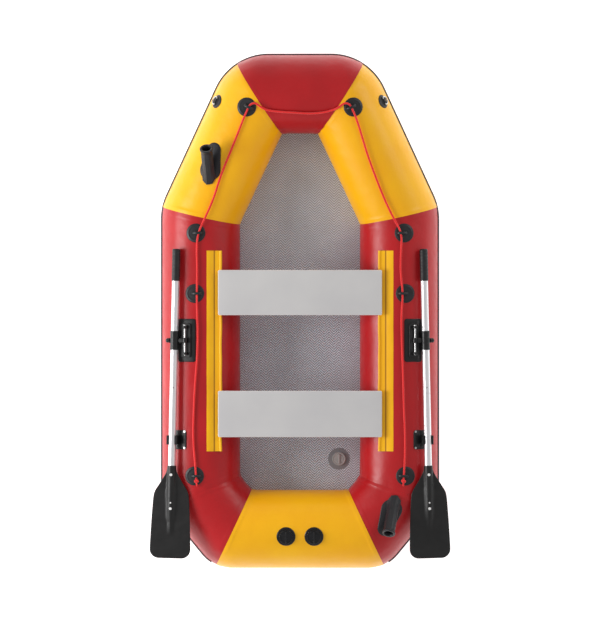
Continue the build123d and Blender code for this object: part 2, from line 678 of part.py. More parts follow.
# %% Valves
def make_floor_valve():
    """Flanged barrel in the deck, sprung plunger in it and a cap on top."""
    axis = Plane(origin=(*FLOOR_VALVE, DECK_TOP))
    hub_top = -FLOOR_VALVE_DEEP / 2
    with BuildPart() as body:
        with BuildSketch(axis):
            Circle(FLOOR_VALVE_FLANGE)
        extrude(amount=FLANGE_THICK)
        with BuildSketch(axis):
            Circle(FLOOR_VALVE_BARREL)
        extrude(amount=-FLOOR_VALVE_DEEP)
        with BuildSketch(axis.offset(FLANGE_THICK)):
            Circle(FLOOR_VALVE_BORE)
        extrude(amount=-FLOOR_VALVE_DEEP - FLANGE_THICK, mode=Mode.SUBTRACT)
        with BuildSketch(axis.offset(hub_top)):
            Circle(2 * HUB_BORE)
            Rectangle(2 * FLOOR_VALVE_BORE + SPOKE_ROOT, HUB_BORE)
            Rectangle(HUB_BORE, 2 * FLOOR_VALVE_BORE + SPOKE_ROOT)
            Circle(HUB_BORE, mode=Mode.SUBTRACT)
        extrude(amount=-SPRING_RADIUS)
    save(body, "floor_valve_body")
    stem_top = hub_top + SPRING_RADIUS + 2 * VALVE_LIFT
    with BuildPart() as plunger:
        with BuildSketch(axis.offset(-FLOOR_VALVE_DEEP - CAP_GAP)):
            Circle(FLOOR_VALVE_BORE + PLUNGER_LAP)
        extrude(amount=-FLANGE_THICK)
        with BuildSketch(axis.offset(-FLOOR_VALVE_DEEP - FLANGE_THICK)):
            Circle(STEM_RADIUS)
        extrude(amount=FLOOR_VALVE_DEEP + FLANGE_THICK + stem_top)
        with BuildSketch(axis.offset(stem_top)):
            Circle(SPRING_RADIUS + 2 * SPRING_WIRE)
        extrude(amount=2 * SPRING_WIRE)
    save(plunger, "floor_valve_plunger")
    coil_high = stem_top - hub_top - 2 * SPRING_WIRE
    with BuildPart(Plane(origin=axis.origin).offset(hub_top + SPRING_WIRE)) as spring:
        with BuildLine() as coil:
            Helix(pitch=coil_high / 4, height=coil_high, radius=SPRING_RADIUS)
        with BuildSketch(Plane(origin=coil.line @ 0, z_dir=coil.line % 0)):
            Circle(SPRING_WIRE)
        sweep(path=coil.line, is_frenet=True)
    save(spring, "floor_valve_spring")
    top = axis.offset(FLANGE_THICK + CAP_GAP)
    with BuildPart() as cap:
        with BuildSketch(top):
            Circle(FLOOR_VALVE_FLANGE - 1)
        extrude(amount=FLOOR_CAP_HIGH)
        fillet(cap.faces().sort_by(Axis.Z)[-1].edges(), FLOOR_CAP_EDGE)
        with BuildSketch(top):
            Circle(FLOOR_VALVE_BORE - CAP_GAP)
            Circle(FLOOR_VALVE_BORE - CAP_SKIRT, mode=Mode.SUBTRACT)
        extrude(amount=-CAP_HIGH)
        with BuildSketch(top.offset(FLOOR_CAP_HIGH)):
            Rectangle(FLOOR_GRIP_BAR[1], FLOOR_GRIP_BAR[0])
        extrude(amount=FLOOR_GRIP_BAR[2])
    save(cap, "floor_valve_cap")


def make_hull_valves():
    """Flanged neck, hinged rubber flap and twist cap of each chamber's valve on the stern tube."""
    seat = valve_plane()
    top = seat.offset(HULL_VALVE_BOSS_HIGH)
    with BuildPart() as body:
        with BuildSketch(seat.offset(-PAD_REACH)):
            Circle(HULL_VALVE_FLANGE)
        extrude(amount=2 * PAD_REACH)
        add(glued(STERN, FLANGE_THICK), mode=Mode.INTERSECT)
        with BuildSketch(seat.offset(-FLANGE_THICK)):
            Circle(HULL_VALVE_BOSS)
        extrude(amount=HULL_VALVE_BOSS_HIGH + FLANGE_THICK)
        add(tube_core(STERN), mode=Mode.SUBTRACT)
        with BuildSketch(top):
            Circle(HULL_VALVE_NECK)
        extrude(amount=-PAD_REACH)
        with BuildSketch(top):
            Circle(HULL_VALVE_BORE)
        extrude(amount=-PAD_REACH, mode=Mode.SUBTRACT)
    save_pair(body, "hull_valve_body")
    with BuildPart() as flap:
        with BuildSketch(top.offset(-PAD_REACH)):
            Circle(HULL_VALVE_NECK)
        extrude(amount=-FLANGE_THICK / 2)
    save_both(flap, "hull_valve_flaps")
    with BuildPart() as cap:
        with BuildSketch(top.offset(CAP_GAP)):
            Circle(HULL_VALVE_BOSS)
        extrude(amount=CAP_HIGH)
        fillet(cap.faces().sort_by(Axis.Z)[-1].edges(), CAP_EDGE)
        with BuildSketch(top.offset(CAP_GAP + CAP_HIGH)):
            RectangleRounded(GRIP_BAR[1], GRIP_BAR[0], GRIP_BAR[1] / 3)
        extrude(amount=GRIP_BAR[2])
        with BuildSketch(top.offset(CAP_GAP)):
            Circle(HULL_VALVE_BORE - CAP_GAP)
            Circle(HULL_VALVE_BORE - CAP_SKIRT, mode=Mode.SUBTRACT)
        extrude(amount=-2 * CAP_HIGH)
    save_pair(cap, "hull_valve_cap")


# %% Rod holders
def make_rod_holder(name, i, x, y, turn):
    """Glued rubber foot with a ribbed socket that leans towards the foot's narrow end."""
    seat = on_tube(i, x, y).rotated((0, 0, turn))
    lean = seat.x_dir * cos(radians(ROD_LEAN)) + seat.z_dir * sin(radians(ROD_LEAN))
    start = seat.origin + seat.x_dir * ROD_START
    socket = Plane(origin=start, x_dir=seat.y_dir, z_dir=lean)
    with BuildPart() as holder:
        with BuildSketch(seat.offset(-PAD_REACH)):
            for foot_at, foot_radius in ROD_FOOT_ENDS:
                with Locations((foot_at, 0)):
                    Circle(foot_radius)
            make_hull()
        extrude(amount=2 * PAD_REACH)
        add(glued(i, ROD_FOOT_THICK), mode=Mode.INTERSECT)
        with BuildSketch(socket.offset(-PAD_REACH / 2)):
            Circle(ROD_SOCKET_RADIUS)
            with PolarLocations(ROD_SOCKET_RADIUS, ROD_RIBS):
                Rectangle(ROD_RIB_WIDE, ROD_RIB_WIDE)
        extrude(amount=ROD_SOCKET_LONG + PAD_REACH / 2)
        with BuildSketch(socket.offset(ROD_SOCKET_LONG - ROD_RIM_HIGH)):
            Circle(ROD_RIM)
        extrude(amount=ROD_RIM_HIGH)
        add(tube_core(i), mode=Mode.SUBTRACT)
        with BuildSketch(socket.offset(ROD_SOCKET_LONG)):
            Circle(ROD_BORE_RADIUS)
        extrude(amount=-ROD_BORE_DEEP, mode=Mode.SUBTRACT)
    save(holder, f"{name}_rod_holder")
    mouth = start + lean * ROD_SOCKET_LONG
    print(name, "rod holder mouth", mouth, "axis", lean)


# %% Rowlocks
def pin_plane():
    """Plane at the middle of the port hinge pin: x along the pin, y outboard, z out of the tube."""
    return on_tube(*ROWLOCK_PLACE).offset(PIN_HIGH)


def stem_plane():
    """Plane at the port hinge pin with z down the rowlock's stem and x along the pin."""
    droop = radians(ARM_DROOP)
    return Plane(origin=pin_plane().origin, x_dir=(0, 1, 0), z_dir=(-cos(droop), 0, -sin(droop)))


def make_rowlocks():
    """Base glued to the tube, hinge pin, arm with its stem, and the knob nut outside the oar."""
    seat = on_tube(*ROWLOCK_PLACE)
    pin = pin_plane()
    cross = Plane(origin=pin.origin, x_dir=pin.y_dir, z_dir=pin.x_dir)
    with BuildPart() as base:
        with BuildSketch(seat.offset(-PAD_REACH)):
            RectangleRounded(ROWLOCK_PAD[0], ROWLOCK_PAD[1], ROWLOCK_CORNER)
        extrude(amount=2 * PAD_REACH)
        add(glued(PORT_SIDE, ROWLOCK_PAD[2]), mode=Mode.INTERSECT)
        with BuildSketch(seat.offset(-ROWLOCK_PAD[2])):
            RectangleRounded(ROWLOCK_PLATE[0], ROWLOCK_PLATE[1], ROWLOCK_CORNER / 2)
        extrude(amount=ROWLOCK_PLATE[2] + PLATE_SUNK)
        for place in (-LUG_AT, LUG_AT):
            with BuildSketch(cross.offset(place - LUG_WIDE / 2)):
                Circle(LUG_RADIUS)
                Rectangle(2 * LUG_RADIUS, PIN_HIGH, align=(Align.CENTER, Align.MAX))
            extrude(amount=LUG_WIDE)
        add(tube_core(PORT_SIDE), mode=Mode.SUBTRACT)
        with BuildSketch(cross.offset(-PIN_HALF)):
            Circle(PIN_RADIUS)
        extrude(amount=2 * PIN_HALF, mode=Mode.SUBTRACT)
    save_both(base, "rowlock_bases")
    with BuildPart() as rod:
        with BuildSketch(cross.offset(-PIN_HALF)):
            Circle(PIN_RADIUS)
        extrude(amount=2 * PIN_HALF)
        with BuildSketch(cross.offset(PIN_HALF)):
            Circle(PIN_HEAD_RADIUS)
        extrude(amount=PIN_HEAD_HIGH)
    save_both(rod, "rowlock_pins")
    stem = stem_plane()
    shoulder = STEM_TO_OAR - COLLAR_RADIUS - NUT_GAP
    with BuildPart() as arm:
        with BuildSketch(cross.offset(-ARM_HALF)):
            Circle(ARM_HALF)
        extrude(amount=2 * ARM_HALF)
        with BuildSketch(stem):
            Rectangle(2 * ARM_HALF, ARM_THICK)
        extrude(amount=shoulder)
        with BuildSketch(stem):
            Circle(ROWLOCK_STEM)
        extrude(amount=STEM_LONG)
        with BuildSketch(cross.offset(-2 * ARM_HALF)):
            Circle(PIN_RADIUS + PIN_FIT)
        extrude(amount=4 * ARM_HALF, mode=Mode.SUBTRACT)
    save_pair(arm, "rowlock_arm")
    face = stem.offset(STEM_TO_OAR + COLLAR_RADIUS + NUT_GAP)
    with BuildPart() as nut:
        with BuildSketch(face):
            Circle(NUT_RADIUS)
        extrude(amount=NUT_STRAIGHT)
        with Locations(face.offset(NUT_STRAIGHT)):
            Sphere(NUT_RADIUS)
        with BuildSketch(face):
            Circle(ROWLOCK_STEM + PIN_FIT)
        extrude(amount=NUT_DEEP, mode=Mode.SUBTRACT)
    save_pair(nut, "rowlock_nut")


# %% Oars
def oar_plane():
    """Port oar at the rowlock: z towards the grip, x across the blade outboard, y up."""
    centre = stem_plane().offset(STEM_TO_OAR).origin
    toe, tilt = radians(OAR_TOE), radians(BLADE_TILT)
    return Plane(origin=centre, x_dir=(-cos(tilt), 0, -sin(tilt)), z_dir=(sin(toe), cos(toe), 0))


def stem_hole():
    """Clearance hole of the rowlock's stem through the collar and the shaft."""
    with BuildPart() as hole:
        with BuildSketch(stem_plane()):
            Circle(ROWLOCK_STEM + PIN_FIT)
        extrude(amount=2 * STEM_LONG)
    return hole.part


def tube_along(plane, start, end, outer, inner):
    """Round tube between two distances along a plane's z."""
    with BuildPart() as tube:
        with BuildSketch(plane.offset(start)):
            Circle(outer)
            if inner > 0:
                Circle(inner, mode=Mode.SUBTRACT)
        extrude(amount=end - start)
    return tube


def button_rod(radius, low, high):
    """Upright round bar at the spring button, between two heights above the shaft's axis."""
    oar = oar_plane()
    centre = oar.offset(BUTTON_AT).origin
    with BuildPart() as bar:
        with BuildSketch(Plane(origin=centre, x_dir=oar.x_dir, z_dir=oar.y_dir).offset(low)):
            Circle(radius)
        extrude(amount=high - low)
    return bar


def make_oar_shafts():
    """Grip, two-piece shaft with its spring button, and the rowlock collar."""
    oar = oar_plane()
    bore = OAR_RADIUS - OAR_WALL
    with BuildPart() as grip:
        with BuildSketch(oar.offset(GRIP_FROM)):
            Circle(GRIP_RADIUS)
        extrude(amount=GRIP_TO - GRIP_FROM)
        fillet(grip.faces().sort_by(Axis.Y)[-1].edges(), GRIP_END / 2)
        with BuildSketch(oar.offset(GRIP_FROM)):
            Circle(OAR_RADIUS)
        extrude(amount=GRIP_TO - GRIP_FROM - GRIP_END, mode=Mode.SUBTRACT)
    save_pair(grip, "oar_grip")
    button_hole = button_rod(BUTTON_RADIUS + BUTTON_FIT, 0, 2 * OAR_RADIUS).part
    with BuildPart() as upper:
        add(tube_along(oar, SPLIT_AT, GRIP_TO - GRIP_END, OAR_RADIUS, bore).part)
        add(stem_hole(), mode=Mode.SUBTRACT)
        add(button_hole, mode=Mode.SUBTRACT)
    save_pair(upper, "oar_upper_shaft")
    with BuildPart() as lower:
        add(tube_along(oar, -BLADE_SHAFT_END, SPLIT_AT, OAR_RADIUS, bore - OAR_WALL).part)
        spigot = bore - SPIGOT_GAP
        add(tube_along(oar, SPLIT_AT, SPLIT_AT + SPIGOT_LONG, spigot, bore - OAR_WALL).part)
        add(button_hole, mode=Mode.SUBTRACT)
    save_pair(lower, "oar_lower_shaft")
    inside = sqrt((bore - OAR_WALL) ** 2 - BUTTON_FLANGE**2) - 2 * GLUE
    with BuildPart() as button:
        add(button_rod(BUTTON_RADIUS, inside - BUTTON_FLANGE_THICK, OAR_RADIUS + BUTTON_PROUD).part)
        add(button_rod(BUTTON_FLANGE, inside - BUTTON_FLANGE_THICK, inside).part)
    save_pair(button, "oar_spring_button")
    with BuildPart() as collar:
        add(tube_along(oar, -COLLAR_LONG / 2, COLLAR_LONG / 2, COLLAR_RADIUS, 0).part)
        chamfer(collar.faces().filter_by(GeomType.PLANE).edges(), COLLAR_EDGE)
        add(tube_along(oar, -COLLAR_LONG, COLLAR_LONG, OAR_RADIUS, 0).part, mode=Mode.SUBTRACT)
        add(stem_hole(), mode=Mode.SUBTRACT)
    save_pair(collar, "oar_collar")


def make_blades():
    """Flat moulded blade with a socket that tapers into a spine."""
    oar = oar_plane()
    flat = Plane(origin=oar.origin, x_dir=oar.x_dir, z_dir=oar.y_dir)
    side = [(SOCKET_RADIUS, BLADE_ROOT), (BLADE_SHOULDER_HALF, BLADE_SHOULDER), (BLADE_HALF, BLADE_WIDEST)]
    right = side + [(BLADE_HALF, BLADE_END)]
    left = [(-x, y) for x, y in reversed(right)]
    spine = [(0, -BLADE_NECK), (SOCKET_RADIUS, -BLADE_NECK), (SOCKET_RADIUS, -BLADE_SHAFT_END)]
    tip = [(BLADE_THICK / 2, -BLADE_WIDEST), (0, -BLADE_WIDEST)]
    with BuildPart() as blade:
        with BuildSketch(flat) as plate:
            Polygon(*right, *left, align=None)
            fillet(plate.vertices().filter_by(lambda v: abs(v.Y - BLADE_END) < GLUE), BLADE_CORNER)
            fillet(plate.vertices().filter_by(lambda v: abs(v.Y - BLADE_SHOULDER) < GLUE), BLADE_CORNER)
        extrude(amount=BLADE_THICK / 2, both=True)
        with BuildSketch(Plane(origin=oar.origin, x_dir=oar.x_dir, z_dir=-oar.y_dir)):
            Polygon(*spine, *tip, align=None)
        revolve(axis=Axis(oar.origin, oar.z_dir))
        add(tube_along(oar, -BLADE_SHAFT_END, -BLADE_NECK, OAR_RADIUS, 0).part, mode=Mode.SUBTRACT)
    save_pair(blade, "oar_blade")


# %% Oar clips
def make_clips():
    """Glued foot with an open jaw round each shaft, and the two screws on its inboard side."""
    oar = oar_plane()
    centre = oar.offset((CLIP_Y - ROWLOCK_Y) / cos(radians(OAR_TOE))).origin
    jaw = Plane(origin=centre, x_dir=(-1, 0, 0), z_dir=oar.z_dir).offset(-CLIP_LONG / 2)
    seat = on_tube(PORT_SIDE, -SIDE_X - CLIP_OUT, CLIP_Y)
    lean = degrees(atan2(-centre.X - SIDE_X, centre.Z - TUBE_RADIUS))
    inner = OAR_RADIUS + CLIP_GAP
    outer = inner + CLIP_WALL
    pivot = pin_plane().origin - centre
    swing = sqrt(pivot.X**2 + pivot.Z**2)
    with BuildSketch(mode=Mode.PRIVATE) as way_out:
        with Locations((-pivot.X, pivot.Z)):
            Circle(swing + inner + CLIP_SWING_GAP)
            Circle(swing - inner - CLIP_SWING_GAP, mode=Mode.SUBTRACT)
        with Locations(Location((0, 0, 0), (0, 0, -CLIP_MOUTH))):
            Rectangle(3 * outer, 2 * outer, align=(Align.CENTER, Align.MIN), mode=Mode.INTERSECT)
    with BuildPart() as clip:
        with BuildSketch(jaw):
            with Locations(Location((0, 0, 0), (0, 0, -lean))):
                Rectangle(CLIP_FOOT, 2 * PAD_REACH, align=(Align.CENTER, Align.MAX))
            Circle(outer)
            with Locations(Location((0, 0, 0), (0, 0, -CLIP_MOUTH))):
                Rectangle(2 * outer, CLIP_WALL_HIGH, align=(Align.CENTER, Align.MIN))
                with Locations((-outer, CLIP_WALL_HIGH), (outer, CLIP_WALL_HIGH)):
                    Circle(CLIP_LIP)
            Circle(inner, mode=Mode.SUBTRACT)
            add(way_out.sketch, mode=Mode.SUBTRACT)
        extrude(amount=CLIP_LONG)
        with BuildSketch(seat.offset(-PAD_REACH)):
            RectangleRounded(CLIP_PAD[0], CLIP_PAD[1], ROWLOCK_CORNER)
        pad = extrude(amount=2 * PAD_REACH, mode=Mode.PRIVATE)
        add(pad & glued(PORT_SIDE, CLIP_PAD[2]))
        add(tube_core(PORT_SIDE), mode=Mode.SUBTRACT)
        for place in screw_planes():
            with BuildSketch(place):
                Circle(CLIP_SCREW_RADIUS)
            extrude(amount=2 * CLIP_PAD[2], mode=Mode.SUBTRACT)
    save_both(clip, "oar_clips")
    with BuildPart() as screws:
        for place in screw_planes():
            with BuildSketch(place.offset(GLUE)):
                Circle(CLIP_SCREW_RADIUS)
            extrude(amount=CLIP_PAD[2])
            with BuildSketch(place.offset(GLUE + CLIP_PAD[2])):
                Circle(CLIP_SCREW_HEAD)
            extrude(amount=CLIP_SCREW_RADIUS)
    save_both(screws, "clip_screws")


def screw_planes():
    """Planes under the two screws of the port clip."""
    x = -SIDE_X - CLIP_OUT - CLIP_SCREW[1]
    return [on_tube(PORT_SIDE, x, CLIP_Y + side * CLIP_SCREW[0]) for side in (-1, 1)]


make_panels()
make_seams()
make_strake()
make_floor()
make_tracks()
for thwart, (place_y, board_width) in THWARTS.items():
    make_thwart(thwart, place_y, board_width)
make_eyelets()
make_lifeline()
make_tow_rings()
make_floor_valve()
make_hull_valves()
for holder_name, holder_place in ROD_HOLDERS.items():
    make_rod_holder(holder_name, *holder_place)
make_rowlocks()
make_oar_shafts()
make_blades()
make_clips()
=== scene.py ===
# %% [markdown]
# # An inflatable rowing dinghy
# The imported frame holds every part at its real size, in metres, with +Y at the bow, +X to starboard and
# +Z up. Here each visible surface is made again as the soft or moulded thing it is, in the frame's own
# places. We start by loading the frame.

# %% Load the frame
import json
import bmesh
import bpy
import numpy as np
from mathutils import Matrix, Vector


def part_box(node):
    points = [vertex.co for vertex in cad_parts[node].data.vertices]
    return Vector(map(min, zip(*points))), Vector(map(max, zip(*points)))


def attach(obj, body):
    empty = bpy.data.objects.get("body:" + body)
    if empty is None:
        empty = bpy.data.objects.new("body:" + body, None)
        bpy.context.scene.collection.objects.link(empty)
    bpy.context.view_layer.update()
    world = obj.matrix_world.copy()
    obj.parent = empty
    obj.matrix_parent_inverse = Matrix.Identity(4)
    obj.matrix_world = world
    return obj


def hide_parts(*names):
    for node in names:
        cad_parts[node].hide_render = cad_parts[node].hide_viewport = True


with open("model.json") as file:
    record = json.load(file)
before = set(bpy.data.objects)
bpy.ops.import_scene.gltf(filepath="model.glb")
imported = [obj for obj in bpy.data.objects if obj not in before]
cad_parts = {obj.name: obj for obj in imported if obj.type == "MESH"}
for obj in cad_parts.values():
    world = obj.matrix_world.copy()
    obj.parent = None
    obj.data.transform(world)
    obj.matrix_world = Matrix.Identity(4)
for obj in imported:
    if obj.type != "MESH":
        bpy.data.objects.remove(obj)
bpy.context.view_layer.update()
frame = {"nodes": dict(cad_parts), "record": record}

# %% [markdown]
# ## The tube's skeleton
# The hull is one air tube that goes round an eight-cornered ring. Everything glued to it needs the same few
# numbers: the tube's radius, and the eight corners of its centreline. Most of them can be read from the
# boxes of the frame's own nodes, so they're worked out from there.

# %% Driving dimensions


def node_box(name):
    """Low and high corners of a frame node's box, as arrays."""
    return [np.array(corner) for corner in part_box(name)]


side_low, side_high = node_box("port_side_panel")
stern_low, _ = node_box("stern_panel")
_, bow_high = node_box("bow_panel")
TUBE = (side_high[2] - side_low[2]) / 2
SIDE_X = -side_low[0] - TUBE
STERN_Y = stern_low[1] + TUBE
BOW_Y = bow_high[1] - TUBE
BOW_RISE = bow_high[2] - 2 * TUBE
BOW_HALF, SHOULDER_Y, QUARTER_Y, STERN_HALF = 0.191, 0.432, -0.8, 0.3
SKIN = 0.001
GLUE = 0.0002
port_half = np.array([
    (-STERN_HALF, STERN_Y, TUBE),
    (-SIDE_X, QUARTER_Y, TUBE),
    (-SIDE_X, SHOULDER_Y, TUBE),
    (-BOW_HALF, BOW_Y, TUBE + BOW_RISE),
])
CORNERS = np.concatenate([port_half, port_half[::-1] * (-1, 1, 1)])
PANELS = ["port_quarter", "port_side", "port_bow", "bow"]
PANELS += ["starboard_bow", "starboard_side", "starboard_quarter", "stern"]
QUARTER, SIDE, SHOULDER, BOW, STAR_SHOULDER, STAR_SIDE, STAR_QUARTER, STERN = range(8)
print(f"tube radius {TUBE:.4f} m, side at x {SIDE_X:.4f}, bow rises {BOW_RISE:.4f}")

# %% [markdown]
# ## Directions along the ring
# Each straight run of the tube has three directions: along it, level outboard, and up out of it. At each
# corner the two runs meet on a mitre plane, and the plane's normal is halfway between their directions.

# %% Directions and mitres


def unit(v):
    """Vectors divided by their own length."""
    v = np.asarray(v, float)
    return v / np.linalg.norm(v, axis=-1, keepdims=True)


ALONG = unit(np.roll(CORNERS, -1, axis=0) - CORNERS)
OUT = unit(np.cross([0, 0, 1], ALONG))
UP = np.cross(ALONG, OUT)
MITRE = unit(np.roll(ALONG, 1, axis=0) + ALONG)
HALF_TURN = np.arccos((MITRE * ALONG).sum(axis=1))
print("half turns at the corners:", np.degrees(HALF_TURN).round(1))

# %% [markdown]
# ## One function for the whole skin
# Air pressure pulls fabric straight along the tube and rounds it off where two tubes meet. A generator, one
# straight line along the tube's skin, runs from mitre to mitre. Here each end of it becomes an arc that lands
# on the mitre plane, so the neighbour's arc meets it there. The arc is large on the outside of a corner,
# where the fabric is free to bulge, and almost nothing in the crease on the inside. Every patch, strake and
# tape that's glued to the boat asks this same function where the skin is.

# %% The skin
ROUNDING = np.array([0.17, 0.2, 0.24, 0.25, 0.25, 0.24, 0.2, 0.17])
CREASE = 0.007


def generator(i, theta, lift):
    """The line at angle theta on run i: spoke, start, straight length and two arcs.

    Theta is 0 outboard and 90 degrees up. Where an end reaches the mitre plane, the arc that's laid there has
    a radius that grows with how far the line faces outboard.
    """
    theta = np.asarray(theta, float)[..., None]
    spoke = np.cos(theta) * OUT[i] + np.sin(theta) * UP[i]
    base = (TUBE + lift)[..., None] * spoke
    ends = []
    outness = np.clip(spoke @ OUT[i], 0, 1)
    for k in (i, (i + 1) % 8):
        reach = -(base @ MITRE[k]) / (ALONG[i] @ MITRE[k])
        radius = CREASE + ROUNDING[k] * outness**1.3 + lift * outness
        ends.append((reach, radius, HALF_TURN[k]))
    length = np.linalg.norm(CORNERS[(i + 1) % 8] - CORNERS[i])
    (reach0, radius0, half0), (reach1, radius1, half1) = ends
    first = reach0 + radius0 * np.tan(half0)
    straight = length + reach1 - radius1 * np.tan(half1) - first
    return base, first, straight, (radius0, half0), (radius1, half1)


def skin(i, share, theta, lift=0.0):
    """Points on run i: share goes 0..1 along each line from mitre to mitre, theta round the tube."""
    share, theta, lift = np.broadcast_arrays(np.asarray(share, float), theta, lift)
    base, first, straight, (radius0, half0), (radius1, half1) = generator(i, theta, lift)
    total = radius0 * half0 + straight + radius1 * half1
    run = share * total
    turn0 = np.clip(half0 - run / radius0, 0, None)
    turn1 = np.clip((run - radius0 * half0 - straight) / radius1, 0, None)
    ahead = first + np.clip(run - radius0 * half0, 0, straight)
    ahead = ahead - radius0 * np.sin(turn0) + radius1 * np.sin(turn1)
    back = -unit(MITRE[i] - (MITRE[i] @ ALONG[i]) * ALONG[i])
    on = unit(MITRE[(i + 1) % 8] - (MITRE[(i + 1) % 8] @ ALONG[i]) * ALONG[i])
    bend = radius0 * (1 - np.cos(turn0)), radius1 * (1 - np.cos(turn1))
    points = CORNERS[i] + base + ahead[..., None] * ALONG[i]
    return points + bend[0][..., None] * back + bend[1][..., None] * on


def from_mitre(i, share, theta):
    """Distance along the skin from each of run i's two mitres."""
    share, theta = np.broadcast_arrays(np.asarray(share, float), theta)
    _, _, straight, (radius0, half0), (radius1, half1) = generator(i, theta, np.zeros(theta.shape))
    total = radius0 * half0 + straight + radius1 * half1
    return share * total, (1 - share) * total


def on_tube(i, ahead, theta, lift=0.0):
    """Points on the straight part of run i, ahead metres from its first corner."""
    ahead, theta, lift = np.broadcast_arrays(np.asarray(ahead, float), theta, lift)
    spoke = np.cos(theta)[..., None] * OUT[i] + np.sin(theta)[..., None] * UP[i]
    return CORNERS[i] + ahead[..., None] * ALONG[i] + (TUBE + lift)[..., None] * spoke


def place(i, x, y):
    """How far ahead on run i, and at what angle round it, the point of the tube over plan point x, y is."""
    level = unit(ALONG[i] * (1, 1, 0))
    reach = np.array([x, y, 0]) - CORNERS[i] * (1, 1, 0)
    out = reach @ OUT[i]
    rise = np.sqrt(TUBE**2 - out**2)
    ahead = (reach @ level - rise * (UP[i] @ level)) / (ALONG[i] @ level)
    return ahead, np.arctan2(rise, out)


print("skin height over the port side:", skin(SIDE, 0.5, np.radians(90.0)).round(4))

# %% [markdown]
# ## From grids to meshes
# Every shape below is a grid of points, rows by columns. Neighbouring points make four-sided faces, wound so
# that a face looks along column direction x row direction, and the shapes are written so that this is
# outwards. Closed shapes get their last column joined to the first, and a fan of faces over each open end.

# %% Grid helpers


def turns(count):
    """Angles of count even steps round a full turn."""
    return np.arange(count) * 2 * np.pi / count


def circle(angle):
    """Cosine and sine of each angle, side by side: points of a circle of radius one."""
    return np.stack([np.cos(angle), np.sin(angle)], axis=-1)


def at_height(flat, height):
    """Plan points with one height added to them all."""
    return np.concatenate([flat, np.full((len(flat), 1), height)], axis=-1)


def cells(rows, columns, around, flip):
    """Corner numbers of each four-sided cell of a grid; around joins the last column to the first."""
    last = columns if around else columns - 1
    row, column = np.meshgrid(np.arange(rows - 1), np.arange(last), indexing="ij")
    following = (column + 1) % columns
    a, b = row * columns + column, row * columns + following
    quads = np.stack([a, b, b + columns, a + columns], axis=-1).reshape(-1, 4)
    return quads[:, ::-1] if flip else quads


def build(name, shapes, finish, uv=None, sharp=40.0):
    """A mesh object from (points, faces) shapes, smooth except at edges over sharp degrees."""
    points, faces, start = [], [], 0
    for shape_points, shape_faces in shapes:
        points.append(shape_points.reshape(-1, 3))
        faces += [[start + n for n in face] for face in shape_faces]
        start += len(points[-1])
    mesh = bpy.data.meshes.new(name)
    mesh.from_pydata(np.concatenate(points), [], faces)
    if uv is not None:
        corners = np.empty(len(mesh.loops), int)
        mesh.loops.foreach_get("vertex_index", corners)
        mesh.uv_layers.new(name="UVMap").data.foreach_set("uv", uv.reshape(-1, 2)[corners].ravel())
    mesh.shade_smooth()
    mesh.set_sharp_from_angle(angle=np.radians(sharp))
    mesh.materials.append(finish)
    made = bpy.data.objects.new(name, mesh)
    bpy.context.scene.collection.objects.link(made)
    return made


def grid(points, around=True, capped=True, flip=False):
    """Shape of a grid of points; capped closes its first and last row, each with one flat face."""
    rows, columns = points.shape[:2]
    faces = cells(rows, columns, around, flip).tolist()
    if capped:
        first, last = list(range(columns)), list(range((rows - 1) * columns, rows * columns))
        faces += [first[::-1], last] if not flip else [first, last[::-1]]
    return points, faces


WELD = 1e-6


def outward(made):
    """Merges doubled points and turns every face of a closed piece outwards."""
    mesh = made.data
    work = bmesh.new()
    work.from_mesh(mesh)
    bmesh.ops.remove_doubles(work, verts=work.verts, dist=WELD)
    bmesh.ops.recalc_face_normals(work, faces=work.faces)
    work.to_mesh(mesh)
    work.free()
    return made


def settle(made, body, slot, *nodes):
    """Puts a finished piece on its body and hides the nodes it stands for; slot is not used."""
    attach(made, body)
    if nodes:
        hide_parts(*nodes)
    return made


def thicken(made, thickness):
    """A wall grown inwards from an outer surface."""
    solid = made.modifiers.new("wall", "SOLIDIFY")
    solid.thickness = thickness
    solid.offset = -1
    return made


print("grid helpers ready")

# %% [markdown]
# ## Materials: the tools
# Colours are picked as hex values, the way a paint card gives them, and the renderer wants them linear. One
# function turns them round, and one adds a shader node with its settings and links. A base finish is always a
# Principled shader; patterns are plugged into its colour, roughness and normal.

# %% Material helpers


def linear(hex_colour):
    """A hex colour as linear red, green, blue and alpha."""
    srgb = np.array([int(hex_colour[k:k + 2], 16) for k in (0, 2, 4)]) / 255
    rgb = np.where(srgb <= 0.04045, srgb / 12.92, ((srgb + 0.055) / 1.055) ** 2.4)
    return (*rgb.tolist(), 1.0)


def add_node(tree, kind, inputs=(), **settings):
    """Adds one shader node: settings are its attributes, an input is a value or another node's socket."""
    made = tree.nodes.new("ShaderNode" + kind)
    for key, value in settings.items():
        setattr(made, key, value)
    for key, value in dict(inputs).items():
        if isinstance(value, bpy.types.NodeSocket):
            tree.links.new(value, made.inputs[key])
        else:
            made.inputs[key].default_value = value
    return made


def new_finish(name, **shader):
    """A new material with one Principled shader and its fixed settings; returns material, tree and shader."""
    material = bpy.data.materials.new(name)
    material.use_nodes = True
    tree = material.node_tree
    tree.nodes.clear()
    principled = add_node(tree, "BsdfPrincipled", {k.replace("_", " "): v for k, v in shader.items()})
    add_node(tree, "OutputMaterial", {"Surface": principled.outputs[0]})
    return material, tree, principled


NOISE_LOW, NOISE_HIGH = 0.3, 0.7


def mottle(tree, scale, low, high, vector, detail=3.0):
    """A soft noise mapped between two values; scale is in spots per metre."""
    noise = add_node(tree, "TexNoise", {"Vector": vector, "Scale": scale, "Detail": detail})
    spread = {"Value": noise.outputs["Fac"], "To Min": low, "To Max": high}
    spread |= {"From Min": NOISE_LOW, "From Max": NOISE_HIGH}
    return add_node(tree, "MapRange", spread).outputs["Result"]


